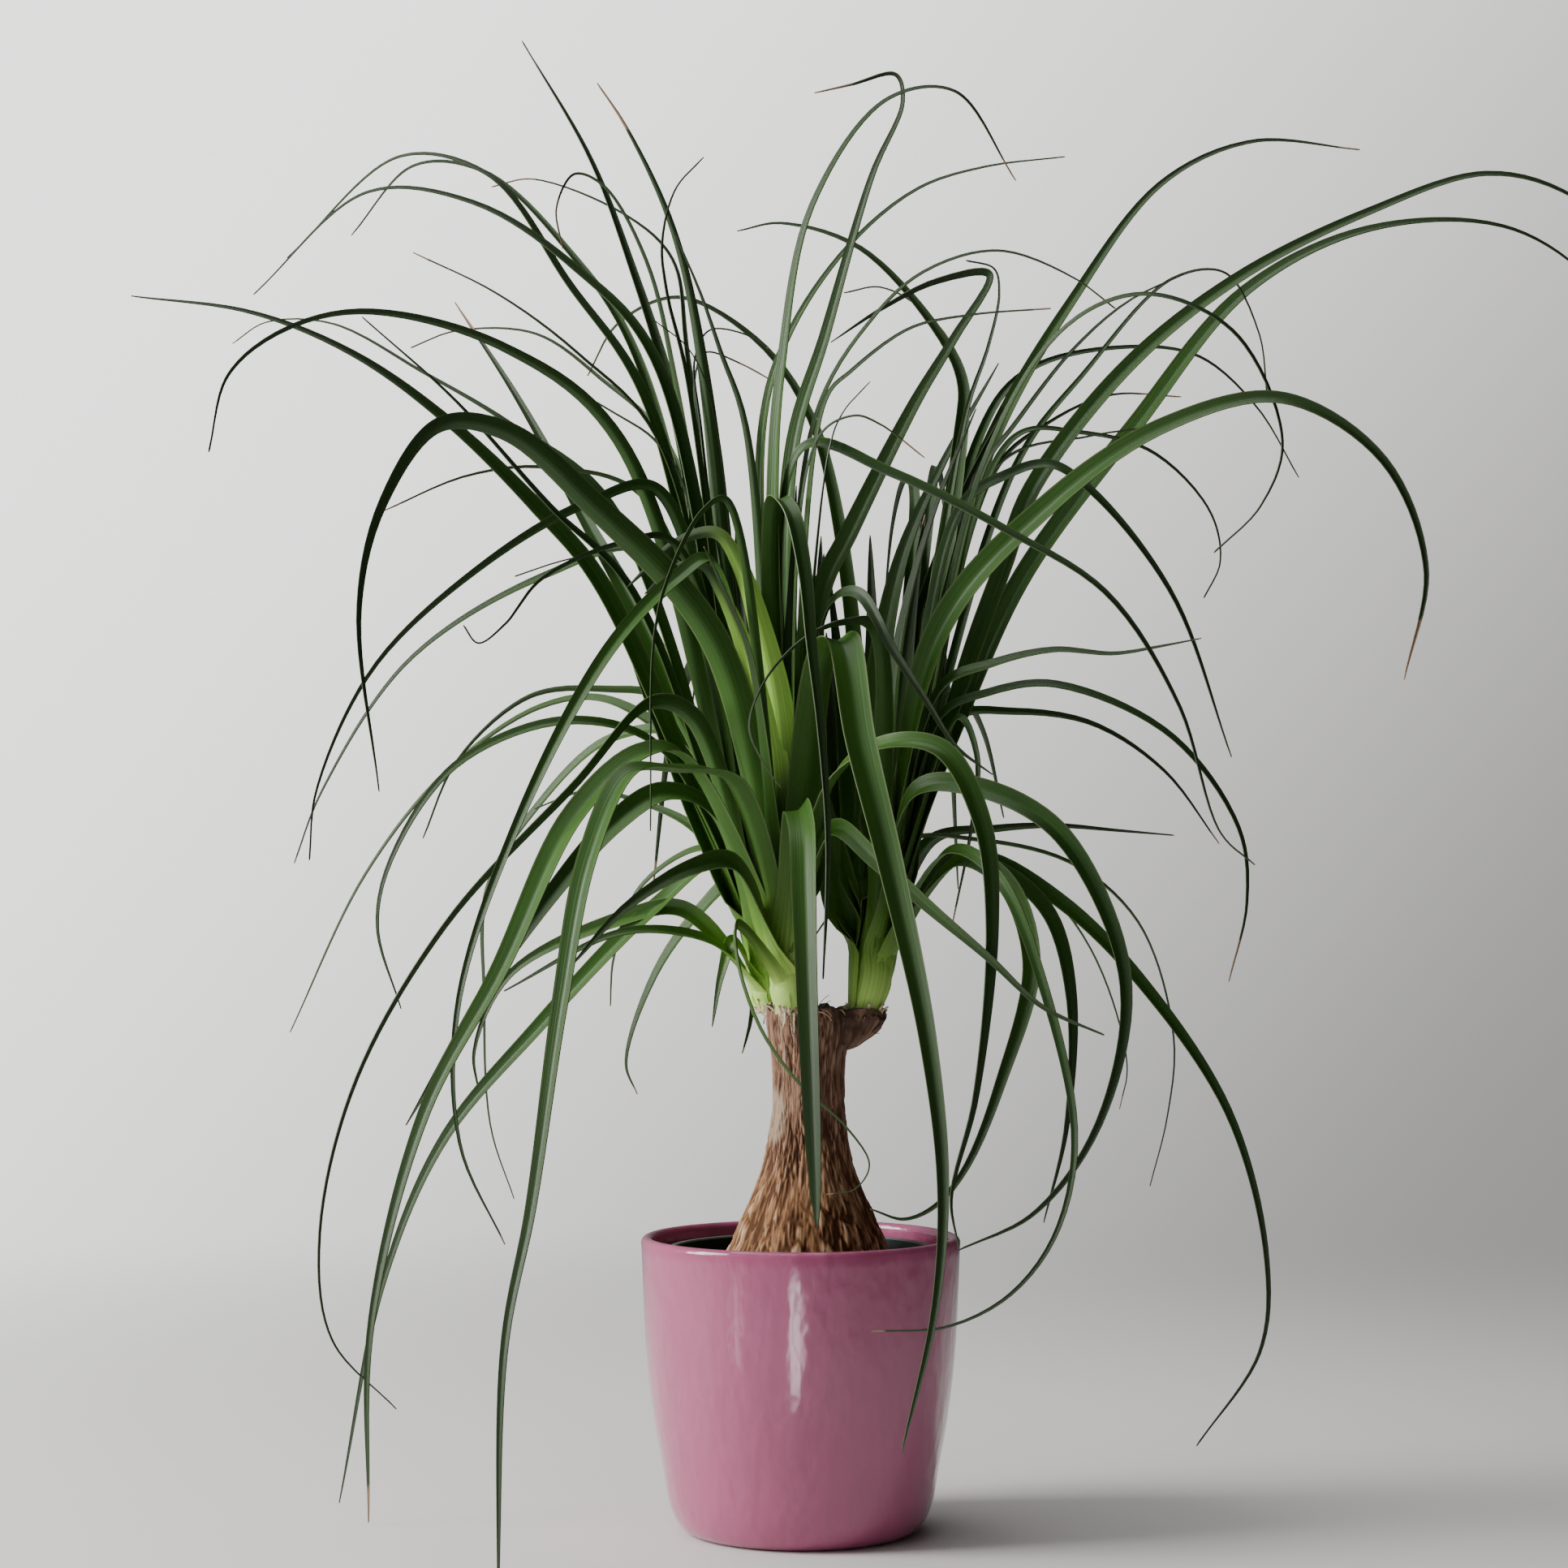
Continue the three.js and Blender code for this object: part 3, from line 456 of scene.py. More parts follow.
# noise vectors start from a seed, which is set so that the bark comes out the same each time
noise.seed_set(3)
ridge = trunk.data.attributes.new("ridge", "FLOAT", "POINT")
plate = trunk.data.attributes.new("plate", "FLOAT", "POINT")
grain_place = trunk.data.attributes.new("grain_place", "FLOAT_VECTOR", "POINT")
for vertex in trunk.data.vertices:
    x, y, z = vertex.co * 1000
    radius = math.hypot(x, y)
    turn = math.atan2(y, x)
    edge = cut_radius if z > trunk_top - 2.5 and radius < 24 else max(radius, 0.01)
    cap = min(1, radius / edge)
    show = smoothed(z, soil_level + 2, soil_level + 18)
    waves = 0.5 * math.sin(7 * turn + z / 21) + 0.3 * math.sin(12 * turn - z / 13)
    waves = 1.1 * (waves + 0.35 * math.sin(3 * turn + z / 30))
    wrap = Vector((math.cos(turn) * bark_radius, math.sin(turn) * bark_radius, z))
    at = Vector((wrap.x / plate_width, wrap.y / plate_width, z / plate_length))
    warp = noise.noise_vector(at * 0.8) * 0.6
    away, nearest = noise.voronoi(at + warp, distance_metric="DISTANCE")
    crack = smoothed(away[1] - away[0], 0.0, 0.42)
    lot = noise.cell(nearest[0] * 7.3)
    grain = noise.fractal(Vector((wrap.x, wrap.y, z / 7)), 1.0, 2.1, 3)
    calm = 1 - 0.6 * smoothed(noise.noise(Vector((at.x, at.y, at.z * 1.4)) * 0.34), 0.05, 0.3)
    calm *= 1 - 0.4 * smoothed(z, 225, 262)
    relief = calm * ((crack - 0.7) * 1.3 + (lot - 0.5) * 0.8 + grain * 0.55)
    top = smoothed(z, trunk_top - 9, trunk_top - 1)
    round_edge = Vector((math.cos(turn), math.sin(turn), 0.3)) * 4.1
    ragged = 3.4 * top * cap * noise.fractal(round_edge, 1.0, 2.0, 3)
    spread = bulged(edge, turn, z) / edge
    waves += 1.6 * smoothed(spread, 1.04, 1.4) * noise.fractal(Vector((x, y, z)) * 0.16, 1.0, 2.0, 4)
    reach = radius * spread + show * cap * (waves + 0.75 * relief)
    if edge != radius and cap < 0.9:
        ragged += noise.fractal(Vector((x, y, 5)) * 0.28, 1.0, 2.1, 4) * 1.3
    tilt = -3.0 * smoothed(spread, 1.1, 2.2) * top
    centre = trunk_centre * smoothed(z, soil_level, soil_level + 30)
    vertex.co = ((centre + reach * math.cos(turn)) / 1000, reach * math.sin(turn) / 1000,
                 (z + ragged + tilt) / 1000)
    ridge.data[vertex.index].value = min(1, max(0, 0.5 + relief * 0.36))
    plate.data[vertex.index].value = lot
    grain_place.data[vertex.index].vector = wrap / 1000


def stored(tree, name, output="Fac"):
    """A value stored on the piece's own points."""
    return node(tree, "ShaderNodeAttribute", attribute_name=name).outputs[output]


def ranged(tree, value, start, end, low=0.0, high=1.0, easing="LINEAR"):
    """A value brought from the range start to end into low to high, and held there."""
    made = node(tree, "ShaderNodeMapRange", {0: value, 1: start, 2: end, 3: low, 4: high},
                interpolation_type=easing)
    return made.outputs[0]


bark, tree, shader = finish_of("corky_bark", {"Specular IOR Level": 0.25})
place = own_place(tree)
spot = node(tree, "ShaderNodeSeparateXYZ", {0: place}).outputs
grain = times(tree, stored(tree, "grain_place", "Vector"), (1, 1, 0.17))
broad = soft_noise(tree, grain, 75.0, 3.0)
fine = soft_noise(tree, grain, 620.0, 4.0)
relief = worked(tree, "MULTIPLY_ADD", worked(tree, "SUBTRACT", fine, 0.5), 0.75, stored(tree, "ridge"))
tan = ramp(tree, relief, [(0.10, (0.090, 0.036, 0.014)), (0.34, (0.230, 0.108, 0.044)),
                          (0.56, (0.390, 0.225, 0.118)), (0.82, (0.600, 0.450, 0.310))])
red = ramp(tree, relief, [(0.10, (0.080, 0.036, 0.024)), (0.36, (0.190, 0.098, 0.060)),
                          (0.60, (0.330, 0.200, 0.130)), (0.86, (0.520, 0.370, 0.260))])
brown = blend(tree, ranged(tree, spot[2], 0.190, 0.262), tan, red)
orange = worked(tree, "MULTIPLY", ranged(tree, stored(tree, "plate"), 0.55, 0.95),
                ranged(tree, broad, 0.42, 0.62))
brown = blend(tree, worked(tree, "MULTIPLY", orange, 0.5), brown, (0.390, 0.175, 0.048))
grey = worked(tree, "MULTIPLY", ranged(tree, broad, 0.56, 0.72), ranged(tree, relief, 0.4, 0.6))
brown = blend(tree, worked(tree, "MULTIPLY", grey, 0.6), brown, (0.470, 0.365, 0.255))
bald_centre = (-0.0165, -0.010, 0.247)
bald = node(tree, "ShaderNodeVectorMath", {0: place, 1: bald_centre}, operation="SUBTRACT").outputs[0]
bald = times(tree, bald, (95, 70, 58))
bald = node(tree, "ShaderNodeVectorMath", {0: bald}, operation="LENGTH").outputs["Value"]
bald = ranged(tree, worked(tree, "MULTIPLY_ADD", fine, 0.7, bald), 1.45, 1.15)
brown = blend(tree, worked(tree, "MULTIPLY", bald, 0.62), brown, (0.450, 0.345, 0.245))
# painted shade: the bark is darkened on its right side near the top, under the bulge, where shade falls
painted_shade_right_top = worked(tree, "MULTIPLY", ranged(tree, spot[0], 0.002, 0.030), ranged(tree, spot[2], 0.278, 0.306))
painted_shade_right_top = worked(tree, "MULTIPLY", painted_shade_right_top, worked(tree, "MULTIPLY_ADD", broad, -0.9, 1.05))
brown = blend(tree, painted_shade_right_top, brown, (0.050, 0.028, 0.024))
normal = node(tree, "ShaderNodeNewGeometry").outputs["Normal"]
facing_up = node(tree, "ShaderNodeSeparateXYZ", {0: normal}).outputs[2]
sawn = worked(tree, "MULTIPLY", ranged(tree, facing_up, 0.35, 0.75), ranged(tree, spot[2], 0.3035, 0.3065))
char = ramp(tree, fine, [(0.35, (0.010, 0.008, 0.007)), (0.7, (0.050, 0.036, 0.028))])
tree.links.new(blend(tree, sawn, brown, char), shader.inputs["Base Color"])
relieved(tree, shader, 0.6, 0.0009, relief)
tree.links.new(worked(tree, "MULTIPLY_ADD", relief, -0.25, 0.85), shader.inputs["Roughness"])
trunk.data.materials.append(bark)
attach(trunk, "root")
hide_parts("trunk")


# ---- Papery scraps ----
# What is left of the oldest leaf bases and of the bark at the saw cut: thin cream shreds standing in a ragged
# ring round each shoot's foot, dark dry flakes at the bulge's edge, and fibres curled off the cut.
def torn_strips(name, finish, strips, seed):
    """Thin torn strips in one piece, each from its foot, heading, length, width, first lean and curl."""
    bpy.ops.object.select_all(action="DESELECT")
    bpy.ops.mesh.primitive_grid_add(x_subdivisions=2, y_subdivisions=7, size=1, location=(0, 0, 0))
    blank = bpy.context.object
    rng = random.Random(seed)
    copies = []
    for foot, heading, length, width, lean, curl in strips:
        one = copied(blank)
        out = Vector((math.cos(math.radians(heading)), math.sin(math.radians(heading)), 0))
        across = Vector((-out.y, out.x, 0))
        lean, curl = math.radians(lean), math.radians(curl) or 0.01
        torn = Vector((rng.uniform(0, 9), rng.uniform(0, 9), 0))
        for vertex in one.data.vertices:
            t = vertex.co.y + 0.5
            u = 2 * vertex.co.x
            end = lean + curl * t
            run = length * (math.cos(lean) - math.cos(end)) / curl
            rise = length * (math.sin(end) - math.sin(lean)) / curl
            wide = width / 2 * (1 - 0.75 * t ** 3) * (1 + 0.5 * noise.noise(torn + Vector((3 * t, u, 0))))
            cup = 0.22 * width * (1 - u * u)
            at = Vector(foot) + out * (run + cup * math.cos(end)) + across * (u * wide)
            vertex.co = (at + Vector((0, 0, rise - cup * math.sin(end)))) / 1000
        copies.append(one)
    piece = joined(name, copies, blank)
    wall = piece.modifiers.new("paper_thickness", "SOLIDIFY")
    wall.thickness = 0.0003
    wall.offset = 0
    bpy.ops.object.modifier_apply(modifier=wall.name)
    bpy.ops.object.shade_smooth_by_angle(angle=math.radians(50))
    piece.data.materials.append(finish)
    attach(piece, "root")


paper = matt_finish("papery_sheath_cream", 0.7, 0.3, (0.004, (1, 1, 0.3), 4.0),
                    [(0.34, (0.250, 0.150, 0.080)), (0.48, (0.560, 0.460, 0.300)),
                     (0.75, (0.720, 0.670, 0.520))])
shoot_feet = [(-17, 14, 306.5, 9.4, 16), (-5.5, -12, 305.5, 9.2, 16), (38.6, 0, 305.5, 11.0, 15)]
rng = random.Random(5)
ring = []
for x, y, z, radius, count in shoot_feet:
    for i in range(count):
        heading = 360 * (i + rng.uniform(-0.3, 0.3)) / count
        turn = math.radians(heading)
        foot = (x + radius * math.cos(turn), y + radius * math.sin(turn), z + rng.uniform(0, 2))
        ring.append((foot, heading + rng.uniform(-20, 20), rng.uniform(5, 9.5), rng.uniform(2.6, 5),
                     rng.uniform(-4, 14), rng.uniform(5, 70)))
ring += [((-10, -21.5, 310), 250, 11, 3.4, 148, 28), ((-5, -23, 309), 275, 14, 2.8, 160, 16),
         ((-1, -22.8, 309.5), 285, 8, 3.2, 140, 40), ((-19, 3, 309), 195, 9, 3.0, 130, 50)]
torn_strips("papery_sheath_scraps", paper, ring, 7)

flake = matt_finish("dry_bark_flake", 0.75, 0.3, (0.003, (1, 1, 0.5), 4.0),
                    [(0.35, (0.045, 0.022, 0.020)), (0.55, (0.120, 0.062, 0.048)),
                     (0.75, (0.300, 0.200, 0.140))])
flake_count = 13
edge = []
for i in range(flake_count):
    turn = math.radians(-80 + 150 * (i + rng.uniform(-0.3, 0.3)) / (flake_count - 1))
    foot = (31 + 15.5 * math.cos(turn), 14.5 * math.sin(turn), 302 + rng.uniform(0, 3))
    edge.append((foot, math.degrees(turn) + rng.uniform(-25, 25), rng.uniform(3, 6.5), rng.uniform(2, 4),
                 rng.uniform(20, 105), rng.uniform(-70, 60)))
edge += [((36, -11, 296), 300, 8, 0.5, 110, -50), ((42, -8, 298), 320, 7, 0.5, 135, -60)]
torn_strips("bulge_edge_flakes", flake, edge, 9)

fibre = matt_finish("curled_bark_fibre", 0.65, 0.35, (0.004, (1, 1, 0.4), 3.0),
                    [(0.35, (0.180, 0.100, 0.060)), (0.7, (0.480, 0.360, 0.240))])
curls = [((8, -20, 310), 340, 13, 1.3, 62, 88), ((10, -19, 310.5), 325, 11, 1.1, 70, 80),
         ((7, -21, 309), 330, 15, 1.2, 75, 70), ((12, -18, 310.5), 335, 9, 1.0, 60, 95),
         ((9, -14, 309), 10, 13, 0.6, 18, 40), ((10, -12, 309), 25, 11, 0.6, 40, 25),
         ((7, -13, 309), 350, 9, 0.5, 30, 60), ((22, -14, 310), 300, 10, 1.2, 70, 75),
         ((26, 6, 310), 60, 8, 1.0, 50, 60), ((2, 20, 309), 100, 12, 1.2, 60, 80)]
torn_strips("saw_cut_fibres", fibre, curls, 13)


# ---- Leafy heads ----
# Three shoots of long strap leaves. Each leaf is one strap, channelled like a gutter and finely ribbed, with
# a pale rough margin; its base widens into a sheath that clasps the shoot, cream-green where light never
# reached it. Inner leaves stand, outer ones arch over and hang, and most end in a thread.
heads = {
    "shoot_left_back": {"foot": (-16, 14, 297), "tip": (-40, 25, 510), "radius": 11, "sheaths": 309,
                        "greening": 1.4},
    "shoot_left_front": {"foot": (-5, -12, 299), "tip": (-17, -19, 520), "radius": 11, "sheaths": 308.5,
                         "greening": 1.15},
    "shoot_right": {"foot": (37, 0, 302), "tip": (74, 1, 515), "radius": 12, "sheaths": 307,
                    "greening": 1.45},
}
stem_swell = [(0, 0.82), (0.05, 0.95), (0.14, 1), (0.4, 0.92), (0.7, 0.72), (1, 0.35)]
# each leaf: the height at which it parts from the bundle, its width, and the points that its rib passes
blades = {
    "shoot_left_back": [
        (560, 8, [(-75, 35, 670), (-105, 45, 770), (-130, 50, 835), (-173, 60, 910)]),
        (580, 9, [(-60, 20, 705), (-78, 15, 785), (-106, 10, 845), (-123, 5, 870)]),
        (560, 8, [(-93, 38, 680), (-143, 50, 757), (-193, 60, 826), (-250, 70, 840), (-322, 80, 778)]),
        (575, 6, [(-100, 60, 710), (-145, 75, 782), (-200, 90, 835), (-245, 98, 840), (-285, 105, 797)]),
        (590, 7, [(-87, 10, 702), (-138, 15, 761), (-200, 20, 801), (-265, 25, 808), (-335, 30, 746)]),
        (580, 5, [(-76, 28, 692), (-94, 24, 766), (-120, 20, 811), (-138, 20, 818), (-149, 20, 797),
         (-145, 20, 772)]),
        (570, 5, [(-68, 0, 690), (-80, -5, 740), (-83, -8, 770), (-75, -10, 802), (-58, -12, 821)]),
        (600, 4, [(-70, 70, 715), (-80, 85, 778), (-108, 90, 806), (-169, 95, 831), (-195, 95, 826)]),
        (480, 10, [(-119, -10, 565), (-156, -20, 609), (-208, -30, 659), (-263, -38, 698), (-323, -45, 722),
         (-394, -50, 731)]),
        (590, 7, [(-109, -20, 651), (-175, -40, 702), (-254, -60, 720), (-300, -70, 708), (-332, -78, 680),
         (-342, -85, 634)]),
        (500, 6, [(-117, 40, 619), (-180, 50, 670), (-234, 60, 703), (-292, 70, 735), (-335, 78, 737),
         (-356, 80, 724)]),
        (470, 10, [(-85, 45, 520), (-135, 70, 614), (-179, 90, 693), (-220, 115, 756)]),
        (580, 4, [(-86, 22, 655), (-135, 20, 708), (-185, 20, 745), (-236, 20, 770)]),
        (570, 4, [(-80, 80, 655), (-127, 110, 707), (-170, 125, 738), (-222, 135, 741), (-251, 140, 731)]),
        (500, 5, [(-100, -20, 560), (-147, -50, 607), (-202, -58, 668), (-256, -65, 716)]),
        (560, 4, [(-93, 5, 617), (-152, 0, 636), (-200, -2, 631), (-251, -5, 609)]),
        (540, 6, [(-93, 50, 590), (-158, 62, 577), (-244, 75, 525), (-299, 80, 443), (-316, 80, 398)]),
        (570, 6, [(-86, -15, 621), (-127, -30, 611), (-187, -45, 573), (-250, -50, 513), (-284, -50, 440),
         (-288, -50, 399)]),
        (440, 9, [(-60, 60, 455), (-122, 95, 502), (-165, 105, 498), (-225, 115, 457), (-277, 120, 391),
         (-324, 120, 291)]),
        (460, 4, [(-82, 25, 496), (-119, 30, 504), (-165, 35, 500), (-210, 40, 461), (-231, 40, 413)]),
        (430, 7, [(-81, -10, 465), (-138, -35, 482), (-202, -45, 456), (-240, -50, 400), (-248, -50, 360),
         (-234, -50, 312)]),
        (455, 8, [(-62, -36, 482), (-86, -54, 492), (-131, -95, 441), (-201, -125, 362), (-249, -145, 274),
         (-266, -160, 190), (-258, -165, 135), (-222, -170, 98)]),
        (440, 6, [(-70, 40, 475), (-119, 62, 475), (-165, 78, 433), (-196, 85, 382), (-198, 88, 316),
         (-194, 90, 234), (-179, 90, 188)]),
        (390, 12, [(-50, -34, 428), (-78, -52, 440), (-108, -75, 421), (-166, -110, 346),
         (-222, -128, 250)]),
        (370, 8, [(-52, 20, 397), (-91, 20, 370), (-161, 15, 297), (-215, 10, 232), (-250, 10, 150),
         (-277, 10, 14)]),
        (400, 5, [(-60, 35, 415), (-102, 55, 437), (-133, 65, 443), (-165, 70, 432)]),
        (380, 8, [(-47, 30, 404), (-65, 38, 407), (-99, 45, 383), (-115, 50, 340), (-117, 50, 310)]),
        (345, 7, [(-71, 20, 370), (-110, 22, 364), (-176, 25, 331), (-198, 25, 284), (-195, 25, 258)]),
        (330, 7, [(-45, -10, 347), (-75, -35, 358), (-110, -48, 356), (-173, -60, 323)]),
        (370, 10, [(-41, 45, 387), (-62, 55, 370), (-90, 62, 330), (-108, 65, 274), (-101, 65, 255)]),
        (345, 7, [(-40, -5, 352), (-48, -8, 330), (-53, -10, 300)]),
        (430, 14, [(-66, 4, 440), (-92, 6, 500), (-116, 6, 566)]),
        (450, 14, [(-52, 22, 470), (-62, 26, 550), (-68, 30, 630)]),
    ],
    "shoot_left_front": [
        (450, 13, [(-49, -50, 525), (-121, -90, 605), (-168, -110, 643), (-205, -122, 645),
         (-235, -135, 600), (-247, -148, 538), (-234, -160, 436)]),
        (550, 5, [(-75, -60, 585), (-104, -75, 583), (-150, -90, 560), (-170, -95, 534), (-185, -98, 523),
         (-193, -100, 533)]),
        (560, 7, [(-51, -60, 575), (-73, -80, 562), (-111, -100, 518), (-160, -125, 420), (-192, -140, 317),
         (-190, -145, 240), (-165, -145, 185)]),
        (580, 4, [(-44, -95, 606), (-57, -100, 598), (-76, -108, 560), (-84, -112, 525), (-86, -112, 415)]),
        (400, 12, [(-68, -70, 462), (-90, -85, 463), (-129, -120, 425), (-167, -165, 338),
         (-205, -195, 261), (-230, -220, 150), (-229, -235, 49)]),
        (405, 11, [(-38, -75, 445), (-72, -115, 452), (-97, -140, 449), (-118, -170, 401),
         (-131, -200, 322), (-144, -235, 214), (-156, -255, 144), (-157, -280, 12)]),
        (370, 11, [(-38, -70, 398), (-63, -88, 395), (-100, -105, 372), (-131, -120, 338)]),
        (365, 4, [(-38, -70, 362), (-37, -85, 340), (-24, -95, 303), (-3, -100, 273), (26, -105, 246),
         (38, -108, 226), (30, -110, 213), (14, -110, 210)]),
        (592, 10, [(-6, -37, 640), (14, -38, 710), (42, -40, 805), (60, -40, 848), (56, -40, 864),
         (30, -40, 858), (8, -40, 853)]),
        (566, 9, [(-17, -48, 619), (-12, -52, 690), (6, -56, 783), (50, -60, 845), (90, -60, 850),
         (126, -60, 797)]),
        (580, 6, [(-23, -5, 663), (-6, -8, 718), (31, -10, 771), (71, -12, 803), (110, -15, 815),
         (158, -20, 820)]),
        (590, 6, [(-33, -5, 660), (-48, -5, 705), (-60, -5, 740), (-75, -8, 775)]),
        (530, 11, [(11, -30, 556), (28, -30, 593), (68, -28, 672), (91, -26, 710), (112, -25, 748),
         (80, -22, 744), (48, -20, 728), (18, -20, 708)]),
        (600, 5, [(7, -50, 656), (42, -58, 717), (73, -62, 744), (115, -65, 755), (158, -68, 739),
         (183, -70, 720)]),
        (600, 4, [(14, -70, 667), (29, -75, 683), (63, -80, 707), (98, -84, 714), (144, -88, 717)]),
        (585, 4, [(16, -66, 638), (24, -64, 660), (40, -66, 678)]),
        (597, 4, [(9, -83, 642), (30, -88, 655), (45, -90, 650), (71, -92, 630)]),
        (598, 6, [(1, -58, 641), (53, -72, 624), (120, -88, 588), (175, -100, 551), (215, -106, 487),
         (238, -110, 414), (257, -112, 396)]),
        (410, 8, [(17, -65, 418), (44, -98, 397), (74, -120, 370), (104, -138, 344), (133, -153, 317),
         (166, -165, 302)]),
        (400, 11, [(17, -65, 447), (48, -95, 467), (80, -110, 462), (102, -122, 420), (107, -130, 360),
         (97, -140, 266), (83, -146, 210), (87, -150, 184)]),
        (530, 9, [(15, -50, 548), (32, -68, 555), (53, -88, 519), (71, -100, 490), (88, -108, 463),
         (108, -115, 447)]),
        (490, 14, [(12, -65, 520), (23, -92, 528), (33, -130, 467), (50, -160, 392), (68, -195, 300),
         (75, -215, 224), (70, -228, 160), (52, -236, 86)]),
        (400, 13, [(-4, -75, 430), (0, -105, 418), (1, -125, 382), (3, -145, 315), (6, -158, 240),
         (8, -163, 196)]),
        (552, 10, [(-15, -58, 611), (-6, -75, 603), (2, -92, 566), (6, -107, 521), (11, -118, 475),
         (15, -130, 409), (12, -140, 332)]),
        (500, 11, [(-30, -70, 520), (-42, -74, 549), (-52, -76, 572), (-56, -80, 580)]),
        (430, 15, [(3, 4, 450), (9, 8, 520), (14, 12, 585)]),
        (460, 13, [(-21, 2, 490), (-20, 4, 570), (-16, 6, 650)]),
    ],
    "shoot_right": [
        (540, 7, [(25, 60, 604), (6, 75, 679), (-27, 85, 727), (-77, 90, 755), (-115, 90, 738),
         (-134, 90, 705)]),
        (600, 9, [(97, 15, 655), (99, 25, 692), (85, 32, 723), (37, 42, 777), (-12, 50, 794),
         (-39, 50, 789)]),
        (600, 4, [(100, 30, 690), (80, 45, 735), (50, 55, 755), (27, 58, 752)]),
        (600, 5, [(100, 5, 670), (113, 5, 709), (120, 5, 742), (117, 5, 757), (100, 5, 762)]),
        (590, 7, [(95, -18, 610), (121, -28, 628), (147, -35, 634), (171, -40, 618), (218, -50, 555),
         (251, -60, 459)]),
        (600, 5, [(129, 15, 656), (171, 20, 660), (215, 22, 648), (250, 25, 612), (256, 25, 581),
         (246, 25, 559)]),
        (480, 12, [(79, -45, 532), (142, -68, 605), (209, -85, 650), (275, -98, 664), (331, -107, 628),
         (355, -111, 565), (342, -112, 501)]),
        (450, 11, [(101, 8, 500), (135, 20, 573), (205, 36, 667), (276, 50, 753), (358, 62, 794),
         (447, 74, 795), (505, 82, 755), (530, 86, 695)]),
        (470, 9, [(102, -8, 524), (121, -14, 576), (137, -20, 620), (194, -32, 693), (259, -42, 744),
         (334, -50, 781), (402, -57, 802), (450, -60, 789), (500, -64, 740)]),
        (470, 9, [(86, 30, 545), (107, 45, 630), (127, 58, 678), (168, 68, 747), (227, 78, 825),
         (285, 86, 853), (354, 92, 849)]),
        (600, 5, [(110, -35, 640), (156, -65, 712), (200, -80, 727), (250, -88, 703), (277, -90, 640),
         (264, -92, 602), (237, -92, 575)]),
        (600, 5, [(110, 50, 660), (142, 75, 706), (200, 95, 724), (252, 102, 720), (290, 106, 688),
         (317, 108, 643)]),
        (590, 4, [(131, 30, 640), (175, 38, 700), (229, 42, 758), (262, 44, 762), (283, 45, 725),
         (288, 45, 686)]),
        (600, 5, [(111, 0, 637), (128, -4, 661), (164, -5, 707), (196, -6, 735), (230, -6, 752)]),
        (590, 4, [(120, 80, 640), (157, 115, 678), (200, 130, 699), (246, 138, 699)]),
        (460, 7, [(83, -12, 486), (110, -20, 499), (150, -28, 504), (217, -38, 474), (257, -46, 418),
         (261, -50, 374), (250, -52, 328)]),
        (450, 5, [(92, 25, 485), (131, 38, 491), (180, 48, 484), (225, 55, 455), (259, 58, 410)]),
        (480, 7, [(81, -35, 500), (111, -60, 514), (146, -75, 521), (180, -85, 518), (207, -90, 522),
         (229, -95, 526)]),
        (390, 7, [(80, 50, 412), (123, 72, 420), (160, 85, 422), (200, 95, 419), (236, 100, 416)]),
        (400, 9, [(65, -50, 440), (100, -70, 442), (145, -90, 418), (177, -103, 361), (184, -110, 313),
         (165, -119, 245), (130, -124, 200), (88, -126, 180)]),
        (380, 9, [(93, -25, 400), (120, -48, 386), (134, -60, 340), (115, -76, 271), (94, -90, 223),
         (76, -98, 202), (58, -102, 195), (39, -104, 201)]),
        (375, 10, [(90, 15, 400), (121, 15, 394), (150, 12, 368), (163, 8, 320), (160, 5, 240),
         (146, 5, 182)]),
        (365, 7, [(80, 12, 392), (109, 18, 402), (158, 24, 375), (206, 30, 328), (262, 38, 245),
         (285, 42, 156), (281, 44, 100), (242, 45, 42)]),
        (395, 5, [(65, 35, 411), (110, 55, 413), (170, 68, 398), (212, 74, 360), (233, 78, 290),
         (229, 80, 240), (218, 80, 197)]),
        (385, 5, [(85, -55, 405), (112, -95, 389), (136, -118, 328), (152, -136, 243), (141, -145, 192),
         (115, -154, 159), (80, -160, 142), (38, -164, 140)]),
        (370, 5, [(95, 60, 400), (130, 85, 400), (164, 98, 373), (190, 104, 332), (207, 108, 270),
         (202, 108, 243)]),
        (470, 4, [(93, -35, 484), (103, -50, 460), (99, -58, 417), (88, -62, 363)]),
        (500, 8, [(44, -56, 533), (24, -86, 536), (2, -102, 526), (-20, -112, 503), (-30, -122, 474),
         (-22, -126, 453), (-12, -128, 439)]),
        (420, 16, [(34, 22, 430), (26, 34, 500), (18, 44, 575)]),
        (430, 16, [(43, 28, 450), (44, 38, 530), (43, 48, 600)]),
        (440, 17, [(54, 14, 450), (64, 20, 530), (76, 24, 610)]),
        (445, 15, [(67, -8, 470), (84, -12, 550), (103, -16, 630)]),
        (385, 8, [(46, 32, 392), (29, 44, 380), (11, 52, 357), (4, 54, 345)]),
    ],
}
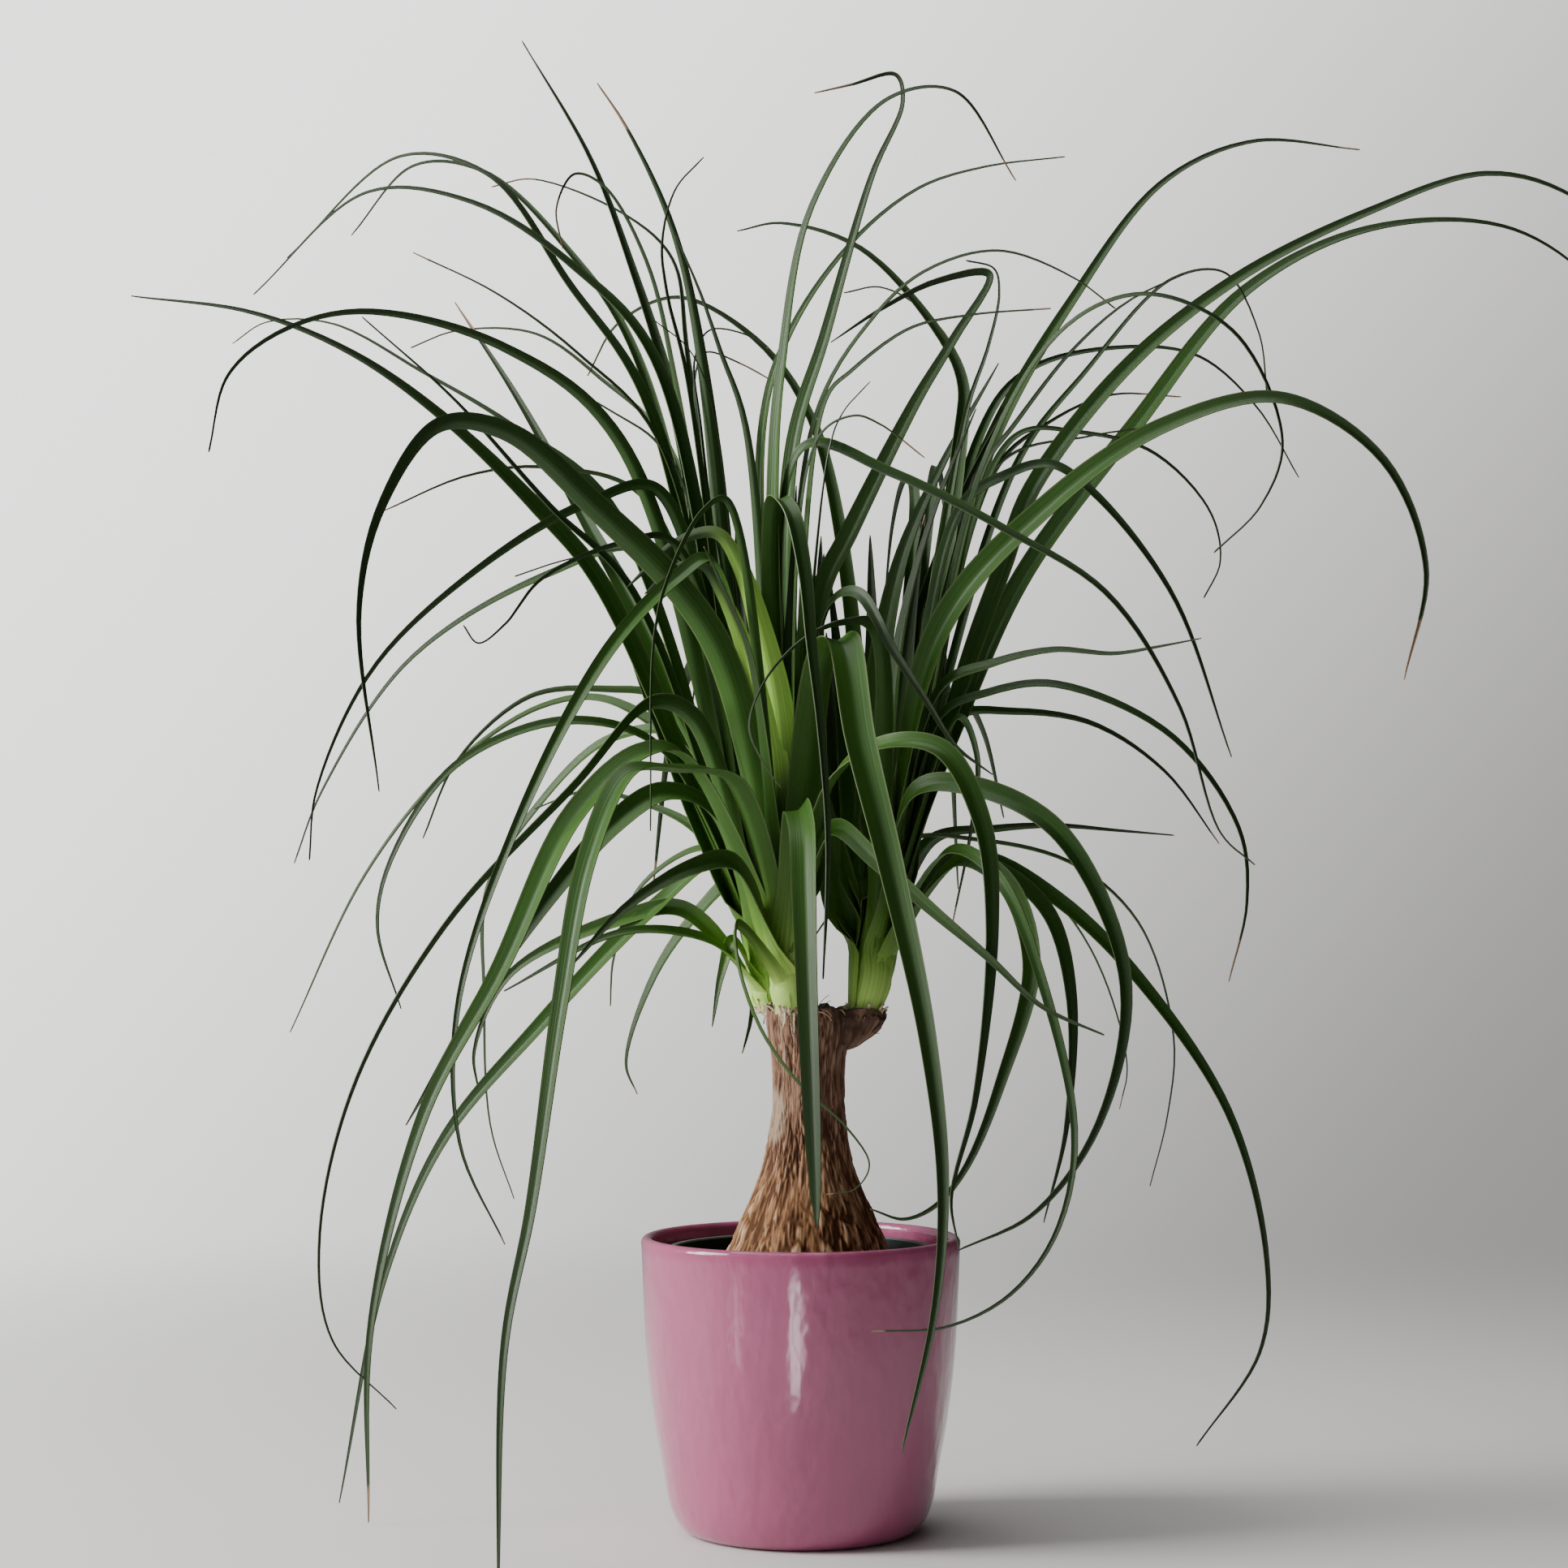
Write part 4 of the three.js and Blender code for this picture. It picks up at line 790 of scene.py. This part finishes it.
# leaves that fill each heart, in the same form: broad young ones packed upright, and thin strands up high
heart_leaves = {
    "shoot_left_back": [
        (420, 14, [(-30, 28, 440), (-35, 46, 520), (-40, 64, 610)]),
        (430, 12, [(-44, 24, 460), (-58, 34, 540), (-74, 46, 640)]),
        (440, 12, [(-24, 30, 450), (-20, 50, 540), (-16, 70, 650)]),
        (570, 3, [(-60, 18, 660), (-64, 20, 705), (-55, 20, 722), (-30, 20, 718), (-20, 20, 711)]),
        (570, 3, [(-62, 24, 660), (-64, 25, 695), (-58, 25, 709), (-34, 25, 701), (-18, 25, 692)]),
        (575, 3, [(-52, 8, 670), (-67, 5, 708), (-88, 0, 725)]),
        (560, 3, [(-70, 22, 625), (-89, 25, 656), (-114, 28, 673), (-143, 30, 690)]),
        (540, 3, [(-70, -5, 578), (-100, -10, 586), (-141, -12, 579), (-171, -14, 569)]),
        (350, 8, [(-26, 42, 350), (-28, 48, 330), (-31, 50, 300), (-36, 50, 281)]),
    ],
    "shoot_left_front": [
        (440, 13, [(-10, 4, 450), (-7, 24, 535), (-5, 46, 640)]),
        (430, 15, [(6, 6, 440), (10, 30, 520), (13, 54, 600)]),
        (450, 11, [(-8, -30, 470), (-6, -36, 545), (-3, -40, 620)]),
        (435, 12, [(-24, -22, 450), (-36, -30, 520), (-52, -38, 600)]),
    ],
    "shoot_right": [
        (345, 17, [(22, 10, 388), (11, 18, 440), (4, 28, 505)]),
        (360, 17, [(30, 20, 400), (22, 34, 460), (16, 50, 540)]),
        (400, 14, [(42, 26, 470), (60, 32, 580), (88, 38, 645), (122, 44, 706)]),
        (420, 14, [(52, 26, 450), (72, 32, 540), (100, 36, 622), (130, 40, 684)]),
        (400, 15, [(66, 14, 430), (80, 26, 500), (98, 38, 580)]),
        (420, 13, [(50, -12, 460), (60, -16, 540), (80, -20, 610), (104, -24, 668)]),
        (590, 3, [(120, 25, 640), (177, 30, 659), (226, 32, 666)]),
    ],
}
# the newest leaves, still lime, that open out of the front shoot's left side and turn over
young_leaves = {
    "shoot_left_front": [
        (482, 15, [(-18, -38, 470), (-30, -46, 515), (-46, -52, 555), (-58, -52, 572), (-74, -46, 571),
         (-92, -40, 556)]),
        (484, 13, [(-24, -36, 470), (-42, -42, 512), (-60, -46, 548), (-70, -46, 560), (-84, -40, 552)]),
        (486, 16, [(-12, -38, 475), (-21, -50, 525), (-36, -58, 572), (-49, -58, 590), (-72, -50, 586),
         (-102, -42, 560)]),
    ],
}
# leaves behind the plant, set out by rule: how many, their fan of headings in degrees, and a seed
back_fans = {"shoot_left_back": (6, 72, 106, 7), "shoot_right": (6, 74, 100, 41)}


def on_stem(head, height):
    """The point on a shoot's axis at a height."""
    foot, tip = Vector(head["foot"]), Vector(head["tip"])
    return foot.lerp(tip, (height - foot.z) / (tip.z - foot.z))


def stem_radius(head, height):
    """The radius of a shoot's bundle of leaf bases at a height."""
    rise = (height - head["foot"][2]) / (head["tip"][2] - head["foot"][2])
    rise = min(1, max(0, rise))
    for (start, first), (end, second) in zip(stem_swell, stem_swell[1:]):
        if rise <= end:
            return head["radius"] * (first + (second - first) * (rise - start) / (end - start))


def fan_behind(head, count, first, last, seed):
    """Arching leaves fanned out behind a shoot, drawn as the solids draw theirs, so that both agree."""
    state = float(seed)
    period = 2.0 ** 31

    def draw():
        nonlocal state
        state = math.fmod(state * 1103515245.0 + 12345.0, period)
        return state / period

    fan = []
    for i in range(count):
        heading = math.radians(first + (last - first) * (i + 0.2 + 0.6 * draw()) / count)
        parts = 400 + 150 * math.fmod(i * 0.382 + 0.3 * draw(), 1)
        lift = 50 + 80 * draw()
        reach = 190 + 130 * draw()
        drop = 50 + 130 * draw()
        root = on_stem(head, parts)
        crest = parts + lift
        width = 9 * (0.7 + 0.5 * draw())
        heights = {0.22: crest - 22, 0.45: crest, 0.78: crest - 0.3 * drop, 1: crest - drop}
        rib = []
        for share, height in heights.items():
            away = reach * share
            rib.append((root.x + away * math.cos(heading), root.y + away * math.sin(heading), height))
        fan.append((parts, width, rib))
    return fan


def thinned(run):
    """Drops points of a fine run where it is nearly straight."""
    kept = [run[0]]
    turned_by = 0
    for before, point, after in zip(run, run[1:], run[2:]):
        turned_by += (point - before).angle(after - point, 0)
        if turned_by > math.radians(4) or (point - kept[-1]).length > 8:
            kept.append(point)
            turned_by = 0
    kept.append(run[-1])
    return kept


def strap_width(width, s, even):
    """A strap's width at a place s along it, from its root at 0 to its tip at 1."""
    broad_part = 1 + 0.16 * smoothed(s, 0.04, 0.22) * (1 - smoothed(s, 0.40, 0.66))
    if even:
        return width * (1.2 - 0.4 * s) * broad_part * (1 - s ** 12) ** 0.7
    drawn_out = 1 - 0.28 * smoothed(s, 0.50, 0.88)
    return width * (1.5 - s) * broad_part * drawn_out * (1 - s ** 6) ** 0.7


def leaf_roll(heading, parts, width, order, young):
    """How far a leaf turns about its rib, in degrees."""
    roll = -heading.x * (58 + 16 * math.sin(2.4 * order)) + 12 * math.sin(3.1 * order)
    roll -= 22 * max(0.0, -heading.y - 0.4)
    leaning_back = heading.y > 0.25
    broad_in_front = heading.y < -0.4 and width > 12
    turns_over = order % 2 and parts > 430 and not leaning_back or broad_in_front or young
    return -roll if heading.x < -0.3 and turns_over else roll


clasping_below = 480
stations = (-1, -0.8, -0.5, -0.2, 0, 0.2, 0.5, 0.8, 1)


def leaf_rows(head, parts, width, points, order, young, rng):
    """Rows of points across one leaf, from its root to its tip, with each row's place along it."""
    root_height = head["foot"][2] + 14 + 0.22 * (parts - 330)
    root = on_stem(head, root_height)
    toward = Vector(points[0]) - root
    outward = Vector((toward.x, toward.y, 0)).normalized()
    root = root + 3 * outward
    rib = [root, *[Vector(point) for point in points]]
    far = max(rib, key=lambda point: math.hypot(point.x - root.x, point.y - root.y))
    heading = Vector((far.x - root.x, far.y - root.y, 0)).normalized()
    clasping = parts < clasping_below
    skipped = 0
    if clasping:
        layer = 0.5 * (order % 4)
        foot_height = head["sheaths"]
        away = math.hypot(toward.x, toward.y)
        share = min(0.55, (stem_radius(head, root_height) - 3 + layer) / max(away, 1))
        leaving = root.lerp(rib[1], share)
        skipped = (leaving - root).length
        low = on_stem(head, foot_height) + outward * (stem_radius(head, foot_height) * 0.74 + layer)
        middle_height = foot_height + 0.55 * (leaving.z - foot_height)
        middle = on_stem(head, middle_height) + outward * (stem_radius(head, middle_height) + layer)
        rib = [low, middle, leaving, *rib[1:]]
    run = thinned(eased(rib, 2.0))
    along = [0.0]
    for before, after in zip(run, run[1:]):
        along.append(along[-1] + (after - before).length)
    start = along[min(range(len(run)), key=lambda i: (run[i] - leaving).length)] if clasping else 0.0
    length = along[-1] - start + skipped
    side = Vector((heading.y, -heading.x, 0))
    roll = leaf_roll(heading, parts, width, order, young)
    even = heading.y < -0.8 and width > 11 and length < 450
    waver = rng.uniform(0, 6.28)
    swing = rng.uniform(3, 8)
    sheath_width = max(2.3 * width, 11)
    sheath_run = min(60, 0.55 * (parts - 300))
    rows = []
    for i, point in enumerate(run):
        s = max(0.0, along[i] - start + skipped) / length
        ahead = run[min(i + 1, len(run) - 1)] - run[max(i - 1, 0)]
        tangent = ahead.normalized()
        side = (side - tangent * side.dot(tangent)).normalized()
        up = side.cross(tangent)
        turn = math.radians(roll) * smoothed(s, 0, 0.32)
        turn += math.radians(swing) * math.sin(waver + 7 * s) * smoothed(s, 0.15, 0.5)
        across = side * math.cos(turn) + up * math.sin(turn)
        face = up * math.cos(turn) - side * math.sin(turn)
        strap = 0.25 if i == len(run) - 1 else max(0.7, strap_width(width, s, even))
        if clasping:
            sheath = 1 - smoothed(along[i] - start, -5, sheath_run)
            wrap = 1 - smoothed(along[i] - start, -12, 26)
            climb = 4.0 + along[i]
        else:
            sheath = 0.5 * (1 - smoothed(s, 0, 0.1))
            wrap = 0.0
            climb = root_height - head["foot"][2] + along[i]
        wide = strap + (sheath_width - strap) * sheath
        keel = wide * (0.22 + 0.05 * sheath)
        axis = on_stem(head, point.z)
        out = Vector((point.x - axis.x, point.y - axis.y, 0))
        ring = max(out.length, 2.0)
        sense = 1 if Vector((out.y, -out.x, 0)).dot(across) > 0 else -1
        row = []
        for u in stations:
            strap_point = point + across * (u * wide / 2) - face * (keel * (1 - abs(u) ** 1.2))
            if wrap > 0:
                bend = -sense * u * min(1.45, wide / (2 * ring))
                x = out.x * math.cos(bend) - out.y * math.sin(bend)
                y = out.x * math.sin(bend) + out.y * math.cos(bend)
                strap_point = strap_point.lerp(Vector((axis.x + x, axis.y + y, point.z)), wrap)
            row.append(strap_point / 1000)
        rows.append((row, s, climb / 1000))
    return rows


core_swell = [(3, 0.72), (8, 0.86), (16, 0.92), (30, 0.92), (55, 0.86), (85, 0.8), (120, 0.8), (155, 0.8),
              (180, 0.25)]


def leafy_head(name, leaves, young, seed):
    """One shoot: its core of young leaf bases and all its leaves, the newest last, as one piece."""
    head = heads[name]
    rng = random.Random(seed)
    points, faces, corners = [], [], []
    tone, dry, climb, lime = [], [], [], []
    for order, (parts, width, rib) in enumerate([*leaves, *young]):
        shade = rng.uniform(-1, 1)
        withered = rng.random()
        rows = leaf_rows(head, parts, width, rib, order, order >= len(leaves), rng)
        for i, (row, s, height) in enumerate(rows):
            first = len(points)
            points += row
            tone += [shade] * len(row)
            dry += [withered] * len(row)
            climb += [height * head["greening"]] * len(row)
            fresh = smoothed(s, 0.30, 0.46) * (1 - smoothed(s, 0.62, 0.84))
            lime += [fresh * (order >= len(leaves))] * len(row)
            if i + 1 < len(rows):
                for j in range(len(stations) - 1):
                    a = first + j
                    b = a + len(stations)
                    faces.append((a, a + 1, b + 1, b))
                    u0, u1 = (stations[j] + 1) / 2, (stations[j + 1] + 1) / 2
                    corners += [(u0, s), (u1, s), (u1, rows[i + 1][1]), (u0, rows[i + 1][1])]
    mesh = bpy.data.meshes.new(name + "_leaves")
    mesh.from_pydata(points, [], faces)
    layer = mesh.uv_layers.new(name="strap")
    for loop, corner in zip(layer.data, corners):
        loop.uv = corner
    for label, values in (("tone", tone), ("dry", dry), ("climb", climb), ("lime", lime)):
        mesh.attributes.new(label, "FLOAT", "POINT").data.foreach_set("value", values)
    piece = bpy.data.objects.new(name + "_leaves", mesh)
    bpy.context.collection.objects.link(piece)
    bpy.ops.object.select_all(action="DESELECT")
    piece.select_set(True)
    bpy.context.view_layer.objects.active = piece
    wall = piece.modifiers.new("leaf_thickness", "SOLIDIFY")
    wall.thickness = 0.0006
    wall.offset = -1
    wall.use_rim = True
    wall.material_offset = 1
    mesh.materials.append(leaf_top)
    mesh.materials.append(leaf_under)
    bpy.ops.object.modifier_apply(modifier=wall.name)
    bpy.ops.object.select_all(action="DESELECT")
    foot = on_stem(head, head["sheaths"] - 4)
    height, size = foot.z, stem_radius(head, foot.z) * 0.5
    bpy.ops.mesh.primitive_circle_add(vertices=28, radius=size / 1000, fill_type="NGON", location=foot / 1000)
    core = bpy.context.object
    bpy.ops.object.mode_set(mode="EDIT")
    for rise, share in core_swell:
        here = on_stem(head, foot.z + rise)
        stride = (here - on_stem(head, height)) / 1000
        bpy.ops.mesh.extrude_region_move(TRANSFORM_OT_translate={"value": stride})
        next_size = stem_radius(head, here.z) * share
        bpy.ops.transform.resize(value=(next_size / size,) * 3, center_override=here / 1000)
        height, size = here.z, next_size
    bpy.ops.mesh.select_all(action="SELECT")
    bpy.ops.mesh.normals_make_consistent(inside=False)
    bpy.ops.object.mode_set(mode="OBJECT")
    bpy.ops.object.transform_apply(location=True, rotation=True, scale=True)
    rises = [head["greening"] * max(0.0, vertex.co.z - foot.z / 1000) for vertex in core.data.vertices]
    core.data.attributes.new("climb", "FLOAT", "POINT").data.foreach_set("value", rises)
    core.data.materials.append(leaf_top)
    piece.select_set(True)
    core.select_set(True)
    bpy.context.view_layer.objects.active = piece
    bpy.ops.object.join()
    bpy.ops.object.shade_smooth_by_angle(angle=math.radians(42))
    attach(piece, "root")
    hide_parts(name)


# The figure of a strap: ribs that run its length, a slow drift along it, a pale margin, a withered tip, and
# painted shade that darkens the last stretch, where it is only a thread.
figure = bpy.data.node_groups.new("strap_figure", "ShaderNodeTree")
for socket in ("Ribs", "Drift", "Margin", "Withered", "Painted_tip_shade"):
    figure.interface.new_socket(socket, in_out="OUTPUT", socket_type="NodeSocketFloat")
given = figure.nodes.new("NodeGroupOutput").inputs
spot = node(figure, "ShaderNodeSeparateXYZ", {0: node(figure, "ShaderNodeUVMap", uv_map="strap").outputs[0]})
u, v = spot.outputs[0], spot.outputs[1]
shift = worked(figure, "MULTIPLY", stored(figure, "tone"), 31.0)


def along_strap(across, down, detail):
    """A noise drawn out along the strap, so many times finer across it and down it."""
    place = node(figure, "ShaderNodeCombineXYZ", {0: worked(figure, "MULTIPLY", u, across),
                                                  1: worked(figure, "MULTIPLY", v, down), 2: shift})
    return soft_noise(figure, place.outputs[0], 1.0, detail)


ribs = along_strap(22.0, 1.5, 3.0)
edge = worked(figure, "ABSOLUTE", worked(figure, "MULTIPLY_ADD", u, 2.0, -1.0))
from_tip = worked(figure, "SUBTRACT", 1.0, v)
dry_length = worked(figure, "MULTIPLY_ADD", worked(figure, "POWER", stored(figure, "dry"), 6.0), 0.08, 0.006)
ragged = worked(figure, "MULTIPLY_ADD", ribs, 0.02, from_tip)
figure.links.new(ribs, given["Ribs"])
figure.links.new(along_strap(2.4, 11.0, 2.0), given["Drift"])
figure.links.new(ranged(figure, edge, 0.86, 0.97), given["Margin"])
figure.links.new(worked(figure, "LESS_THAN", ragged, dry_length), given["Withered"])
# painted shade: from a third of the way along to the tip the strap is taken towards dark grey-green, standing
# in for backlit thin ends
figure.links.new(ranged(figure, v, 0.34, 0.84, high=0.72, easing="SMOOTHSTEP"), given["Painted_tip_shade"])


def leaf_finish(name, settings, deep, bright, foot):
    """A leaf face: green by its ribs, drift and own tone, lightened low in the heart by painted light, pale
    at the margin, darkened along its thread by painted shade, lime on the newest leaves, cream-green at the
    foot and straw at a dry tip."""
    material, tree, shader = finish_of(name, settings)
    outputs = node(tree, "ShaderNodeGroup", node_tree=figure).outputs
    ribs, margin, climb = outputs["Ribs"], outputs["Margin"], stored(tree, "climb")
    mixed = worked(tree, "MULTIPLY_ADD", outputs["Drift"], 0.7, 0.12)
    mixed = worked(tree, "MULTIPLY_ADD", stored(tree, "tone"), 0.22, mixed)
    mixed = worked(tree, "MULTIPLY_ADD", worked(tree, "SUBTRACT", ribs, 0.5), 1.25, mixed)
    # painted light: leaves low in the heart are lightened and pushed towards a brighter green, standing in
    # for light reaching the heart
    painted_heart_light = ranged(tree, climb, 0.08, 0.38, 0.5, 0.0)
    mixed = node(tree, "ShaderNodeClamp", {0: worked(tree, "ADD", mixed, painted_heart_light)}).outputs[0]
    green = blend(tree, mixed, deep, bright)
    green = blend(tree, painted_heart_light, green, (0.066, 0.172, 0.022))
    green = blend(tree, worked(tree, "MULTIPLY", margin, 0.40), green, (0.200, 0.245, 0.105))
    # painted shade darkening the thread towards the tip
    green = blend(tree, outputs["Painted_tip_shade"], green, (0.022, 0.034, 0.016))
    newest = worked(tree, "MULTIPLY", stored(tree, "lime"), worked(tree, "MULTIPLY_ADD", ribs, 0.8, 0.5))
    newest = node(tree, "ShaderNodeClamp", {0: newest}).outputs[0]
    green = blend(tree, newest, green, (0.430, 0.780, 0.130))
    rise = worked(tree, "MULTIPLY_ADD", worked(tree, "SUBTRACT", ribs, 0.5), 0.06, climb)
    base = ramp(tree, ranged(tree, rise, 0.0, 0.16),
                [(0.0, (0.62, 0.62, 0.36)), (0.04, foot), (0.42, (0.130, 0.270, 0.032)), (1.0, (0, 0, 0))])
    green = blend(tree, ranged(tree, rise, 0.045, 0.150, easing="SMOOTHSTEP"), base, green)
    straw = blend(tree, ribs, (0.190, 0.120, 0.065), (0.420, 0.300, 0.200))
    tree.links.new(blend(tree, outputs["Withered"], green, straw), shader.inputs["Base Color"])
    relieved(tree, shader, 0.6, 0.00035, worked(tree, "MULTIPLY_ADD", outputs["Drift"], 0.5, ribs))
    rough = worked(tree, "MULTIPLY_ADD", ribs, 0.16, settings["Roughness"] - 0.08)
    tree.links.new(rough, shader.inputs["Roughness"])
    return material


leaf_top = leaf_finish("leaf_upper_face", {"Roughness": 0.41, "Specular IOR Level": 0.36},
                       (0.007, 0.036, 0.003), (0.041, 0.126, 0.009), (0.520, 0.800, 0.165))
leaf_under = leaf_finish("leaf_under_face", {"Roughness": 0.52, "Specular IOR Level": 0.27},
                         (0.009, 0.041, 0.004), (0.049, 0.132, 0.014), (0.540, 0.820, 0.185))
for seed, (name, leaves) in enumerate(blades.items()):
    fan = fan_behind(heads[name], *back_fans[name]) if name in back_fans else []
    leafy_head(name, [*leaves, *fan, *heart_leaves[name]], young_leaves.get(name, []), 50 + seed)


# ---- Floor and light ----
# A plain pale round floor that fades out into a pale surround, brighter on the left; a big soft window light
# from the left and a weak one above; and two low strips that only glosses see.
bpy.ops.object.select_all(action="DESELECT")
bpy.ops.mesh.primitive_circle_add(vertices=96, radius=2.6, fill_type="NGON", location=(0, 0, 0))
floor = bpy.context.object
floor.name = "pale_floor"
card, tree, shader = finish_of("pale_card", {"Roughness": 0.7, "Specular IOR Level": 0.3,
                                             "Base Color": (0.76, 0.755, 0.745, 1)})
away = node(tree, "ShaderNodeVectorMath", {0: own_place(tree)}, operation="LENGTH").outputs["Value"]
tree.links.new(ranged(tree, away, 0.35, 1.9, 1.0, 0.0, "SMOOTHSTEP"), shader.inputs["Alpha"])
floor.data.materials.append(card)
floor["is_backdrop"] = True

for name, place, aim, size, power, tint in (
        ("window_light", (-2.2, -0.46, 1.35), (0, 0.1, 0.4), (1.0, 1.8), 106, (1, 0.985, 0.96)),
        ("top_light", (-0.3, 0.1, 2.6), (0, 0, 0.4), (1.8, 1.6), 28, (1, 1, 1))):
    data = bpy.data.lights.new(name, "AREA")
    data.shape = "RECTANGLE"
    data.size, data.size_y = size
    data.energy = power
    data.color = tint
    lamp = bpy.data.objects.new(name, data)
    lamp.location = place
    lamp.rotation_euler = (Vector(aim) - Vector(place)).to_track_quat("-Z", "Y").to_euler()
    lamp.visible_camera = False
    bpy.context.collection.objects.link(lamp)

for name, place, size, strength in (("low_strip", (-0.021, -0.320, 0.060), (0.034, 0.106), 9),
                                    ("low_strip_left", (-0.215, -0.245, 0.075), (0.022, 0.070), 4)):
    bpy.ops.object.select_all(action="DESELECT")
    bpy.ops.mesh.primitive_plane_add(size=1, location=(0, 0, 0), rotation=(math.radians(90), 0, 0))
    strip = bpy.context.object
    strip.name = name
    strip.scale = (size[0], size[1], 1)
    strip.location = place
    bpy.ops.object.transform_apply(location=True, rotation=True, scale=True)
    glow, tree, shader = finish_of(name, {"Base Color": (0, 0, 0, 1), "Emission Color": (1, 0.98, 0.97, 1),
                                          "Emission Strength": strength})
    glow.cycles.emission_sampling = "NONE"
    strip.data.materials.append(glow)
    strip.visible_camera = strip.visible_diffuse = strip.visible_shadow = False
    strip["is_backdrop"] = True

world = bpy.data.worlds.new("pale_surround")
world.use_nodes = True
surround = world.node_tree
heading = node(surround, "ShaderNodeTexCoord").outputs["Generated"]
toward = node(surround, "ShaderNodeSeparateXYZ", {0: heading}).outputs
above = worked(surround, "MAXIMUM", toward[2], -0.12)
across = worked(surround, "MULTIPLY_ADD", above, -0.8, toward[0])
# painted light: straight to the camera the surround shows a gradient, bright on the left and dim to the right
# and below, stronger than the light it gives the scene
wall = ranged(surround, across, -0.42, 0.32, 2.3, 0.36, "SMOOTHSTEP")
room = ranged(surround, toward[0], -1.0, 0.4, 0.62, 0.03)
seen = node(surround, "ShaderNodeLightPath").outputs["Is Camera Ray"]
level = node(surround, "ShaderNodeMix", {0: seen, 2: room, 3: wall}).outputs[0]
background = surround.nodes["Background"]
background.inputs["Color"].default_value = (1.0, 0.985, 0.965, 1)
surround.links.new(level, background.inputs["Strength"])
bpy.context.scene.world = world

low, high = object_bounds()
